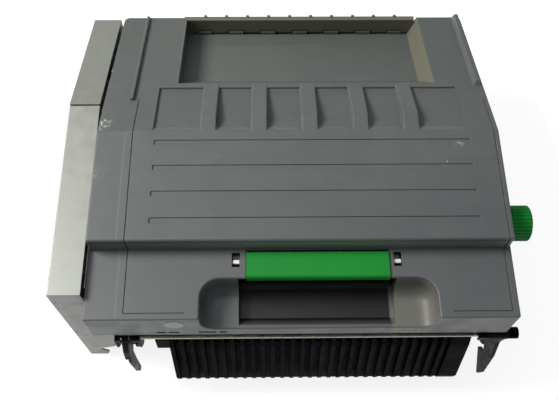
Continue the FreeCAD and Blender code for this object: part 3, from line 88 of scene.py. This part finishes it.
class Finish:
    """One material, with a short call for each kind of node it needs."""

    def __init__(self, name, colour, roughness, metallic=0.0):
        self.material = bpy.data.materials.new(name)
        self.material.use_nodes = True
        self.tree = self.material.node_tree
        self.shader = next(n for n in self.tree.nodes if n.type == "BSDF_PRINCIPLED")
        self.shader.inputs["Base Color"].default_value = colour
        self.shader.inputs["Roughness"].default_value = roughness
        self.shader.inputs["Metallic"].default_value = metallic
        self.colour = None
        self.base = colour
        self.normal = None
        coordinates = self.tree.nodes.new("ShaderNodeTexCoord")
        self.place = coordinates.outputs["Object"]
        self.facing = coordinates.outputs["Normal"]

    def set(self, socket, value):
        if isinstance(value, bpy.types.NodeSocket):
            self.tree.links.new(value, socket)
        else:
            socket.default_value = value

    def math(self, operation, a, b=0.0, clamp=False):
        node = self.tree.nodes.new("ShaderNodeMath")
        node.operation = operation
        node.use_clamp = clamp
        self.set(node.inputs[0], a)
        self.set(node.inputs[1], b)
        return node.outputs[0]

    def noise(self, per_metre, detail=3.0, stretch=(1.0, 1.0, 1.0), rough=0.5):
        mapping = self.tree.nodes.new("ShaderNodeMapping")
        mapping.inputs["Scale"].default_value = stretch
        mapping.inputs["Location"].default_value = (0.37, 0.11, 0.23)
        self.tree.links.new(self.place, mapping.inputs["Vector"])
        node = self.tree.nodes.new("ShaderNodeTexNoise")
        node.inputs["Scale"].default_value = per_metre
        node.inputs["Detail"].default_value = detail
        node.inputs["Roughness"].default_value = rough
        self.tree.links.new(mapping.outputs[0], node.inputs["Vector"])
        return node.outputs[0]

    def cells(self, per_metre):
        node = self.tree.nodes.new("ShaderNodeTexVoronoi")
        node.inputs["Scale"].default_value = per_metre
        self.tree.links.new(self.place, node.inputs["Vector"])
        return node.outputs["Distance"]

    def remap(self, value, low, high, to_low=0.0, to_high=1.0):
        node = self.tree.nodes.new("ShaderNodeMapRange")
        self.set(node.inputs["Value"], value)
        node.inputs["From Min"].default_value = low
        node.inputs["From Max"].default_value = high
        node.inputs["To Min"].default_value = to_low
        node.inputs["To Max"].default_value = to_high
        return node.outputs[0]

    def axis(self, vector, name):
        node = self.tree.nodes.new("ShaderNodeSeparateXYZ")
        self.tree.links.new(vector, node.inputs[0])
        return node.outputs[name]

    def spot(self, centre, reach, sharp=0.35):
        """1 inside a ball of that reach about centre, falling to 0 at its edge."""
        node = self.tree.nodes.new("ShaderNodeVectorMath")
        node.operation = "DISTANCE"
        self.tree.links.new(self.place, node.inputs[0])
        node.inputs[1].default_value = centre
        return self.remap(node.outputs["Value"], reach * sharp, reach, 1.0, 0.0)

    def tint(self, mask, colour, amount=1.0):
        """Mix the colour so far towards another one where mask is 1."""
        node = self.tree.nodes.new("ShaderNodeMix")
        node.data_type = "RGBA"
        self.set(node.inputs[0], self.math("MULTIPLY", mask, amount, clamp=True))
        self.set(node.inputs[6], self.base if self.colour is None else self.colour)
        node.inputs[7].default_value = colour
        self.colour = node.outputs[2]
        self.tree.links.new(self.colour, self.shader.inputs["Base Color"])

    def vary_roughness(self, value, low, high):
        """Roughness from low to high as value goes from 0.3 to 0.7."""
        self.tree.links.new(self.remap(value, 0.3, 0.7, low, high), self.shader.inputs["Roughness"])

    def bump(self, height, depth, strength=1.0):
        """Relief of that depth in metres on top of what is there."""
        node = self.tree.nodes.new("ShaderNodeBump")
        node.inputs["Strength"].default_value = strength
        node.inputs["Distance"].default_value = depth
        self.set(node.inputs["Height"], height)
        if self.normal is not None:
            self.tree.links.new(self.normal, node.inputs["Normal"])
        self.normal = node.outputs[0]
        self.tree.links.new(self.normal, self.shader.inputs["Normal"])

    def soft_edges(self, radius):
        """Round every edge in the shading, and return a mask of where the edges are."""
        bevel = self.tree.nodes.new("ShaderNodeBevel")
        bevel.samples = 6
        bevel.inputs["Radius"].default_value = radius
        self.normal = bevel.outputs[0]
        self.tree.links.new(self.normal, self.shader.inputs["Normal"])
        geometry = self.tree.nodes.new("ShaderNodeNewGeometry")
        dot = self.tree.nodes.new("ShaderNodeVectorMath")
        dot.operation = "DOT_PRODUCT"
        self.tree.links.new(bevel.outputs[0], dot.inputs[0])
        self.tree.links.new(geometry.outputs["True Normal"], dot.inputs[1])
        return self.remap(dot.outputs["Value"], 0.99, 0.80)


def shade(colour, factor):
    """A lighter or darker version of a colour."""
    return (*(min(1.0, c * factor) for c in colour[:3]), 1.0)


def moulded(name, colour, roughness, grain=1.0, wear=0.35, edge=0.0005):
    """Moulded plastic: spark-eroded grain, slow mottling and rubbed edges."""
    f = Finish(name, colour, roughness)
    edges = f.soft_edges(edge)
    f.tint(f.remap(f.noise(9.0, 4.0, rough=0.6), 0.35, 0.75), shade(colour, 0.82), 0.55)
    f.tint(f.remap(f.noise(46.0, 5.0, rough=0.65), 0.45, 0.8), shade(colour, 1.22), 0.40)
    f.tint(f.remap(f.noise(1500.0, 2.0), 0.40, 0.72), shade(colour, 1.25), 0.30 * grain)
    rub = f.math("MULTIPLY", edges, f.remap(f.noise(70.0, 4.0, rough=0.7), 0.42, 0.62))
    f.tint(rub, shade(colour, 2.1), wear)
    f.vary_roughness(f.noise(60.0, 4.0), roughness - 0.07, roughness + 0.10)
    f.bump(f.noise(1300.0, 2.0), 0.00006 * grain, 0.55)
    return f


def dusty(f, colour, amount):
    """Thin dust on what faces up, in slow patches."""
    up = f.remap(f.axis(f.facing, "Z"), 0.55, 0.98)
    patches = f.remap(f.noise(17.0, 5.0, rough=0.6), 0.42, 0.72)
    f.tint(f.math("MULTIPLY", up, patches), colour, amount)


def scratched(f, colour, amount, stretch, per_metre=90.0):
    """Fine straight scratches along one direction."""
    lines = f.remap(f.noise(per_metre, 2.0, stretch=stretch), 0.685, 0.72)
    broken = f.remap(f.noise(23.0, 3.0), 0.46, 0.60)
    f.tint(f.math("MULTIPLY", lines, broken), colour, amount)


def inside(f, x, y, z):
    """1 in a box of space given by its three ranges, with 1 mm soft sides."""
    mask = 1.0
    for name, (low, high) in zip("XYZ", (x, y, z)):
        along = f.axis(f.place, name)
        for edge, side in ((low, 1), (high, -1)):
            step = f.remap(along, edge - side * 0.5 * MM, edge + side * 0.5 * MM)
            mask = f.math("MULTIPLY", mask, step)
    return mask


def cover_grey():
    """Worn grey cover. Its colour is set by place to imitate light and shade, and that shows from
    every
    side: painted shade makes it a little darker towards the rear and the front, near black in the deep
    cup and the link slots, and darker on the tabs at the back of the rear pocket; painted light makes
    the right wall of the rear pocket and the right scoop warmer, and the lip, the pocket floor towards
    the left and a line beside the left groove lighter."""
    f = moulded("cover_grey", tone(80, 83, 84), 0.44, grain=1.3, wear=0.60)
    f.shader.inputs["Specular IOR Level"].default_value = 0.35
    y = f.axis(f.place, "Y")
    # Painted shade: a little darker towards the rear and towards the front.
    f.tint(f.remap(y, 0.0, 0.15), tone(77, 82, 78), 0.75)
    f.tint(f.remap(y, -0.03, -0.12), tone(74, 77, 79), 0.70)
    dusty(f, tone(104, 106, 104), 0.14)
    scratched(f, tone(118, 121, 121), 0.22, (1.0, 16.0, 1.0))
    scratched(f, tone(112, 115, 115), 0.16, (18.0, 1.0, 1.0), 70.0)
    low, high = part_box("top_cover")
    left, top = low.x, high.z
    chips = f.remap(f.noise(330.0, 4.0, rough=0.7), 0.53, 0.60)
    for centre, reach, amount in (
            (Vector((left + 5 * MM, -1 * MM, top - 3 * MM)), 10 * MM, 0.85),
            (Vector((left + 3 * MM, -48 * MM, top - 1 * MM)), 7 * MM, 0.30),
            (Vector((high.x - 34 * MM, -24 * MM, top)), 5 * MM, 0.60),
            (Vector((high.x - 46 * MM, -40 * MM, top)), 4 * MM, 0.50)):
        f.tint(f.math("MULTIPLY", f.spot(centre, reach, 0.1), chips), tone(190, 192, 188), amount)
    bar_low, bar_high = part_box("release_bar")
    # Painted shade: the deep cup round the release bar is near black behind its front edge.
    fade = f.remap(y, *CUP_FADE_Y)
    cup_x = (bar_low.x - CUP_MARGIN[0], bar_high.x + CUP_MARGIN[1])
    hollow = inside(f, cup_x, CUP_Y, CUP_Z)
    f.tint(f.math("MULTIPLY", hollow, fade), tone(4, 4, 5), 0.98)
    # Painted light: the pocket's right wall is warmer and lighter where it faces left.
    faces_left = f.remap(f.axis(f.facing, "X"), -0.2, -0.4)
    right_wall = inside(f, *POCKET_RIGHT_WALL)
    f.tint(f.math("MULTIPLY", right_wall, faces_left), tone(104, 103, 88), 0.85)
    # Painted shadow: the tabs at the back of the pocket floor are darker.
    f.tint(inside(f, *POCKET_TABS), tone(58, 60, 56), 0.80)
    # Painted highlight: a light line beside the left groove.
    f.tint(inside(f, *GROOVE_HIGHLIGHT), tone(124, 127, 127), 0.22)
    # Painted light: the lip's front-facing step is lighter.
    faces_front = f.remap(f.axis(f.facing, "Y"), -0.45, -0.80)
    f.tint(f.math("MULTIPLY", inside(f, *LIP), faces_front), tone(104, 107, 104), 0.80)
    # Painted light: the scoop to the right of the bar is warmer and lighter.
    scoop_x = [bar_high.x + gap for gap in SCOOP_AFTER_BAR]
    f.tint(inside(f, scoop_x, SCOOP_Y, SCOOP_Z), tone(116, 111, 94), 0.28)
    # Painted light: the pocket floor grows lighter towards the left.
    to_left = f.remap(f.axis(f.place, "X"), 0.10, -0.10)
    f.tint(f.math("MULTIPLY", inside(f, *POCKET_FLOOR), to_left), tone(90, 97, 94), 0.5)
    # Painted shade: the link slots are near black.
    for link in LINK_X:
        slot = inside(f, (link - LINK_HALF, link + LINK_HALF), LINK_Y, LINK_Z)
        f.tint(slot, tone(14, 15, 17), 0.92)
    return f


def guide_brown():
    """Darker moulding, with painted shade near black in the recess and the line at its foot."""
    f = moulded("guide_brown", tone(92, 91, 82), 0.42, grain=0.8, wear=0.30)
    dusty(f, tone(110, 108, 98), 0.25)
    low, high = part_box("rear_note_guide")
    front = low.y + GUIDE_FRONT
    # Painted shade: the recess and the line at the guide's foot are near black.
    recess = inside(f, (low.x, high.x), (front + 0.9 * MM, front + 4.0 * MM), GUIDE_RECESS_Z)
    foot_line = inside(f, (low.x, high.x), (front - 1 * MM, front + 0.6 * MM), GUIDE_FOOT_Z)
    f.tint(f.math("MAXIMUM", recess, foot_line), tone(5, 5, 5), 0.97)
    return f


def label_paper():
    colour = tone(131, 135, 137)
    f = Finish("label_paper", colour, 0.55)
    f.soft_edges(0.0002)
    f.tint(f.remap(f.noise(700.0, 4.0, stretch=(1.0, 1.0, 3.0)), 0.35, 0.7), shade(colour, 0.86), 0.5)
    f.tint(f.remap(f.noise(90.0, 4.0), 0.5, 0.7), tone(100, 102, 102), 0.35)
    f.bump(f.noise(900.0, 3.0), 0.00003, 0.4)
    return f


def silver_paint():
    """Satin silver paint with fine flake, over sheet steel. Painted shade makes it darker on its
    front, and black where it faces the cover across the gap."""
    colour = tone(136, 139, 134)
    f = Finish("silver_paint", colour, 0.44, 0.40)
    edges = f.soft_edges(0.0006)
    f.tint(f.remap(f.cells(2600.0), 0.25, 0.75), shade(colour, 0.78), 0.45)
    f.tint(f.remap(f.noise(11.0, 4.0), 0.35, 0.75), shade(colour, 0.86), 0.45)
    f.tint(f.remap(f.noise(160.0, 5.0, rough=0.7), 0.62, 0.70), shade(colour, 0.62), 0.35)
    f.tint(f.math("MULTIPLY", edges, f.remap(f.noise(50.0, 4.0), 0.45, 0.6)), tone(90, 90, 88), 0.55)
    scratched(f, tone(186, 188, 184), 0.25, (1.0, 22.0, 1.0))
    # Painted shade: darker where it faces the front.
    f.tint(f.remap(f.axis(f.facing, "Y"), -0.60, -0.95), shade(colour, 0.62), 0.80)
    # Painted shade: near black where it faces the cover across the gap.
    f.tint(f.remap(f.axis(f.facing, "X"), 0.60, 0.95), tone(8, 8, 9), 0.94)
    f.vary_roughness(f.noise(90.0, 4.0), 0.36, 0.54)
    f.bump(f.noise(900.0, 2.0), 0.00004, 0.4)
    return f


def sheet_steel(name, colour, roughness, cloud=None):
    """Rolled sheet: grain along X, cloudy plating, bright cut edges."""
    grain_along = (1.0, 14.0, 14.0)
    f = Finish(name, colour, roughness, 1.0)
    edges = f.soft_edges(0.0003)
    f.tint(f.remap(f.noise(14.0, 5.0, rough=0.65), 0.35, 0.72), cloud or shade(colour, 0.72), 0.6)
    f.tint(f.remap(f.noise(160.0, 3.0, stretch=grain_along), 0.4, 0.7), shade(colour, 0.80), 0.5)
    f.tint(edges, shade(colour, 1.4), 0.5)
    f.tint(f.remap(f.noise(260.0, 5.0, rough=0.75), 0.64, 0.72), shade(colour, 0.35), 0.35)
    f.vary_roughness(f.noise(75.0, 4.0), roughness - 0.10, roughness + 0.14)
    f.bump(f.noise(400.0, 3.0, stretch=grain_along), 0.00003, 0.5)
    return f


def turned_steel():
    """Turned bar: fine rings across X, with small stains."""
    colour = tone(176, 176, 174)
    f = Finish("turned_steel", colour, 0.30, 1.0)
    edges = f.soft_edges(0.00025)
    f.tint(f.remap(f.noise(300.0, 3.0, stretch=(6.0, 1.0, 1.0)), 0.4, 0.7), shade(colour, 0.78), 0.6)
    f.tint(f.remap(f.noise(35.0, 5.0, rough=0.7), 0.5, 0.75), tone(120, 112, 100), 0.4)
    f.tint(edges, shade(colour, 1.3), 0.4)
    f.vary_roughness(f.noise(120.0, 3.0), 0.20, 0.42)
    f.bump(f.noise(900.0, 2.0, stretch=(8.0, 0.4, 0.4)), 0.00002, 0.5)
    return f


def bush_bronze():
    colour = tone(168, 132, 82)
    f = Finish("bush_bronze", colour, 0.42, 1.0)
    f.soft_edges(0.0003)
    f.tint(f.remap(f.cells(1500.0), 0.2, 0.6), shade(colour, 0.62), 0.6)
    f.tint(f.remap(f.noise(60.0, 4.0), 0.45, 0.7), tone(110, 84, 56), 0.5)
    f.vary_roughness(f.noise(200.0, 3.0), 0.34, 0.56)
    f.bump(f.cells(1500.0), 0.00003, 0.6)
    return f


def comb_black():
    f = moulded("comb_black", tone(4, 4, 5), 0.55, grain=0.6, wear=0.15, edge=0.0003)
    f.tint(f.remap(f.noise(120.0, 4.0, stretch=(1.0, 1.0, 0.3)), 0.56, 0.78), tone(12, 12, 14), 0.30)
    f.shader.inputs["Specular IOR Level"].default_value = 0.02
    return f


def grip_green():
    """Green moulded plastic with a slight sheen from handling."""
    base = tone(6, 118, 36)
    f = Finish("grip_green", base, 0.42)
    edges = f.soft_edges(0.0006)
    f.tint(f.remap(f.noise(16.0, 4.0), 0.35, 0.75), tone(5, 106, 33), 0.6)
    f.tint(f.remap(f.noise(900.0, 2.0), 0.45, 0.75), tone(12, 130, 44), 0.30)
    f.tint(f.math("MULTIPLY", edges, f.remap(f.noise(90.0, 4.0), 0.40, 0.62)), tone(58, 166, 84), 0.35)
    f.tint(f.remap(f.noise(330.0, 5.0, rough=0.75), 0.66, 0.72), tone(8, 66, 28), 0.45)
    scratched(f, tone(56, 160, 80), 0.25, (1.0, 20.0, 1.0))
    f.vary_roughness(f.noise(55.0, 4.0), 0.34, 0.52)
    f.bump(f.noise(1100.0, 2.0), 0.00004, 0.45)
    f.shader.inputs["Specular IOR Level"].default_value = 0.22
    return f


def acetal(name, colour):
    """Natural acetal: slightly translucent, with faint flow marks."""
    f = Finish(name, colour, 0.36)
    edges = f.soft_edges(0.0003)
    f.tint(f.remap(f.noise(40.0, 4.0), 0.4, 0.75), shade(colour, 0.84), 0.5)
    f.tint(f.remap(f.noise(500.0, 4.0), 0.62, 0.75), tone(120, 116, 104), 0.4)
    f.tint(edges, shade(colour, 1.1), 0.5)
    f.vary_roughness(f.noise(110.0, 3.0), 0.30, 0.46)
    f.bump(f.noise(800.0, 2.0), 0.00003, 0.4)
    f.shader.inputs["Subsurface Weight"].default_value = 0.08
    f.shader.inputs["Subsurface Radius"].default_value = (0.002, 0.002, 0.002)
    return f


def link_white():
    """White acetal, darkened below the cover's top to imitate the shade of its slots."""
    f = acetal("link_white", tone(206, 206, 200))
    f.tint(f.remap(f.axis(f.place, "Z"), *SLOT_SHADE_Z), tone(16, 16, 17), 0.95)
    return f


def latch_steel():
    """Blackened steel, rubbed bright along its edges."""
    f = Finish("latch_steel", tone(20, 19, 19), 0.50)
    f.shader.inputs["Specular IOR Level"].default_value = 0.05
    edges = f.soft_edges(0.0004)
    f.tint(f.remap(f.noise(28.0, 5.0, rough=0.7), 0.45, 0.75), tone(38, 35, 32), 0.6)
    rub = f.math("MULTIPLY", edges, f.remap(f.noise(120.0, 4.0, rough=0.7), 0.38, 0.60))
    f.tint(rub, tone(140, 134, 124), 0.45)
    f.tint(f.remap(f.noise(260.0, 5.0, rough=0.75), 0.64, 0.72), tone(12, 12, 12), 0.6)
    f.vary_roughness(f.noise(90.0, 4.0), 0.32, 0.56)
    f.bump(f.noise(500.0, 3.0, stretch=(14.0, 14.0, 1.0)), 0.00003, 0.5)
    return f


def roller_rubber():
    """Ground rubber with paper dust in its grain."""
    f = Finish("roller_rubber", tone(44, 44, 46), 0.72)
    f.soft_edges(0.0004)
    f.tint(f.remap(f.noise(420.0, 4.0, stretch=(1.0, 0.5, 0.5)), 0.45, 0.75), tone(92, 90, 86), 0.45)
    f.tint(f.remap(f.noise(30.0, 4.0), 0.4, 0.7), tone(30, 30, 32), 0.5)
    f.vary_roughness(f.noise(200.0, 3.0), 0.62, 0.86)
    f.bump(f.noise(1400.0, 3.0), 0.00010, 0.7)
    return f


def sensor_glass():
    f = Finish("sensor_glass", tone(52, 60, 62), 0.06)
    f.soft_edges(0.0003)
    f.tint(f.remap(f.noise(80.0, 5.0, rough=0.7), 0.55, 0.75), tone(110, 116, 116), 0.25)
    f.vary_roughness(f.noise(140.0, 5.0, rough=0.7), 0.03, 0.20)
    f.bump(f.noise(60.0, 2.0), 0.00001, 0.2)
    f.shader.inputs["Coat Weight"].default_value = 0.8
    f.shader.inputs["Coat Roughness"].default_value = 0.05
    return f


def board_green():
    """Solder mask over copper: darker and lighter areas with straight traces."""
    colour = tone(24, 92, 52)
    f = Finish("board_green", colour, 0.30)
    f.soft_edges(0.0002)
    traces = f.tree.nodes.new("ShaderNodeTexBrick")
    traces.inputs["Scale"].default_value = 90.0
    traces.inputs["Mortar Size"].default_value = 0.018
    traces.inputs["Color1"].default_value = (0.0, 0.0, 0.0, 1.0)
    traces.inputs["Color2"].default_value = (0.0, 0.0, 0.0, 1.0)
    traces.inputs["Mortar"].default_value = (1.0, 1.0, 1.0, 1.0)
    f.tree.links.new(f.place, traces.inputs["Vector"])
    f.tint(traces.outputs["Fac"], tone(60, 140, 84), 0.8)
    f.tint(f.remap(f.cells(260.0), 0.10, 0.06), tone(196, 178, 120), 0.8)
    f.vary_roughness(f.noise(60.0, 3.0), 0.22, 0.38)
    f.bump(traces.outputs["Fac"], 0.00004, 0.6)
    return f


FINISHES = {
    "cover_grey": cover_grey(),
    "guide_brown": guide_brown(),
    "label_paper": label_paper(),
    "silver_paint": silver_paint(),
    "zinc_steel": sheet_steel("zinc_steel", tone(168, 168, 164), 0.40, cloud=tone(136, 134, 120)),
    "guide_steel": sheet_steel("guide_steel", tone(150, 144, 132), 0.34),
    "turned_steel": turned_steel(),
    "latch_steel": latch_steel(),
    "bush_bronze": bush_bronze(),
    "comb_black": comb_black(),
    "grip_green": grip_green(),
    "link_white": link_white(),
    "gear_plastic": acetal("gear_plastic", tone(204, 200, 184)),
    "roller_rubber": roller_rubber(),
    "sensor_glass": sensor_glass(),
    "motor_can": moulded("motor_can", tone(52, 52, 54), 0.40, grain=0.6, wear=0.6),
    "board_green": board_green(),
    "chip_black": moulded("chip_black", tone(30, 30, 32), 0.45, grain=0.5, wear=0.3),
    "socket_white": acetal("socket_white", tone(214, 210, 196)),
}


def dress(obj, slot):
    obj.data.materials.clear()
    obj.data.materials.append(FINISHES[slot].material)


for part in frame["record"]["subparts"]:
    dress(frame["nodes"][part["node"]], part["material_slot"])


# ---- cross-recess screws ---------------------------------------------------------------------
def separate_boxes(obj):
    """Lowest and highest corner of each separate solid in a node."""
    bm = bmesh.new()
    bm.from_mesh(obj.data)
    bmesh.ops.remove_doubles(bm, verts=bm.verts, dist=0.001 * MM)
    waiting = set(bm.verts)
    boxes = []
    for seed in bm.verts:
        if seed not in waiting:
            continue
        waiting.discard(seed)
        stack, found = [seed], []
        while stack:
            vert = stack.pop()
            found.append(vert.co.copy())
            for edge in vert.link_edges:
                other = edge.other_vert(vert)
                if other in waiting:
                    waiting.discard(other)
                    stack.append(other)
        boxes.append((Vector([min(c[i] for c in found) for i in range(3)]),
                      Vector([max(c[i] for c in found) for i in range(3)])))
    bm.free()
    return boxes


def add_screw(bm, foot, side, radius, height):
    """Pan head with a tapered cross recess. foot is the middle of its underside, and side
    is 1 where it points along +X, -1 along -X."""
    def loop(along, outline):
        return [bm.verts.new(foot + Vector((side * along * height, y * radius, z * radius)))
                for y, z in outline]

    def wall(a, b, smooth):
        for k in range(len(a)):
            n = (k + 1) % len(a)
            bm.faces.new((a[k], a[n], b[n], b[k])).smooth = smooth

    turns = [math.tau * k / SCREW_FACETS for k in range(SCREW_FACETS)]
    circle = [(math.cos(turn), math.sin(turn)) for turn in turns]
    rings = [loop(along, [(out * y, out * z) for y, z in circle]) for along, out in SCREW_RINGS]
    for lower, upper in zip(rings, rings[1:]):
        wall(lower, upper, True)
    bm.faces.new(rings[0])
    quarter = [(RECESS_HALF, RECESS_REACH), (RECESS_HALF, RECESS_HALF), (RECESS_REACH, RECESS_HALF)]
    cross = []
    for _ in range(4):
        cross += quarter
        quarter = [(z, -y) for y, z in quarter]
    mouth = loop(1.0, cross)
    deep = loop(RECESS_FLOOR, [(RECESS_TAPER * y, RECESS_TAPER * z) for y, z in cross])
    wall(mouth, deep, False)
    bm.faces.new(deep)
    rims = [bm.edges.get((ring[k], ring[(k + 1) % len(ring)])) for ring in (rings[-1], mouth)
            for k in range(len(ring))]
    bmesh.ops.triangle_fill(bm, edges=rims, use_beauty=True)


def screw_heads():
    """Pan heads in place of the plain case screws, at the same outer faces and of the same
    width. The shanks, which are hidden, are left out."""
    bm = bmesh.new()
    for corner_low, corner_high in separate_boxes(frame["nodes"]["case_screws"]):
        side = -1 if corner_low.x + corner_high.x < 0 else 1
        height = min(corner_high.x - corner_low.x, SCREW_HEAD)
        outer = corner_low.x if side < 0 else corner_high.x
        foot = Vector((outer - side * height, 0.5 * (corner_low.y + corner_high.y),
                       0.5 * (corner_low.z + corner_high.z)))
        add_screw(bm, foot, side, 0.5 * (corner_high.y - corner_low.y), height)
    bmesh.ops.recalc_face_normals(bm, faces=bm.faces)
    mesh = bpy.data.meshes.new("screw_heads")
    bm.to_mesh(mesh)
    bm.free()
    piece = bpy.data.objects.new("screw_heads", mesh)
    bpy.context.scene.collection.objects.link(piece)
    dress(piece, "turned_steel")
    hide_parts("case_screws")
    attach(piece, "frame")


screw_heads()


# ---- studio and camera -----------------------------------------------------------------------
FLOOR_HALF = 4.0
FLOOR_GLOW = 0.84
WORLD_LIGHT = 0.22
MIDDLE = (0.0, 0.0, 0.1)
CAMERA_PLACE = Vector((-0.02396, -0.33154, 0.70613))
CAMERA_DOWN = math.radians(64.03)
CAMERA_YAW = math.radians(1.81)
CAMERA_ROLL = math.radians(-1.31)
CAMERA_LENS = 50.33


def studio():
    mesh = bpy.data.meshes.new("floor")
    corners = [(side_x * FLOOR_HALF, side_y * FLOOR_HALF, 0)
               for side_x, side_y in ((-1, -1), (1, -1), (1, 1), (-1, 1))]
    mesh.from_pydata(corners, [], [(0, 1, 2, 3)])
    floor = bpy.data.objects.new("floor", mesh)
    bpy.context.scene.collection.objects.link(floor)
    paint = Finish("floor_paint", tone(150, 150, 150), 0.80)
    paint.tint(paint.remap(paint.noise(3.0, 3.0), 0.3, 0.7), tone(144, 145, 146), 0.5)
    paint.shader.inputs["Emission Color"].default_value = (1.0, 1.0, 1.0, 1.0)
    paint.shader.inputs["Emission Strength"].default_value = FLOOR_GLOW
    mesh.materials.append(paint.material)

    world = bpy.data.worlds.new("studio")
    world.use_nodes = True
    bpy.context.scene.world = world
    background = next(n for n in world.node_tree.nodes if n.type == "BACKGROUND")
    background.inputs["Color"].default_value = (0.94, 0.97, 1.0, 1.0)
    background.inputs["Strength"].default_value = WORLD_LIGHT


def lamp(name, place, aim, size, power, colour=(1.0, 1.0, 1.0)):
    data = bpy.data.lights.new(name, "AREA")
    data.shape = "DISK"
    data.size = size
    data.energy = power
    data.color = colour
    obj = bpy.data.objects.new(name, data)
    obj.location = place
    obj.rotation_euler = (Vector(aim) - Vector(place)).to_track_quat("-Z", "Y").to_euler()
    bpy.context.scene.collection.objects.link(obj)


def camera():
    forward = Vector((math.sin(CAMERA_YAW) * math.cos(CAMERA_DOWN),
                      math.cos(CAMERA_YAW) * math.cos(CAMERA_DOWN), -math.sin(CAMERA_DOWN)))
    level = Vector((math.cos(CAMERA_YAW), -math.sin(CAMERA_YAW), 0.0))
    fall = forward.cross(level)
    right = level * math.cos(CAMERA_ROLL) + fall * math.sin(CAMERA_ROLL)
    down = fall * math.cos(CAMERA_ROLL) - level * math.sin(CAMERA_ROLL)
    data = bpy.data.cameras.new("camera")
    data.lens = CAMERA_LENS
    data.sensor_width = 36.0
    obj = bpy.data.objects.new("camera", data)
    turn = Matrix((right, -down, -forward)).transposed()
    obj.matrix_world = Matrix.Translation(CAMERA_PLACE) @ turn.to_4x4()
    bpy.context.scene.collection.objects.link(obj)
    bpy.context.scene.camera = obj


studio()
lamp("key", (-0.95, 0.12, 1.10), MIDDLE, size=0.60, power=27.0, colour=(1.0, 0.98, 0.93))
lamp("top", (-0.20, 0.05, 1.90), MIDDLE, size=1.2, power=8.5)
camera()
bpy.context.scene.view_settings.view_transform = "Standard"
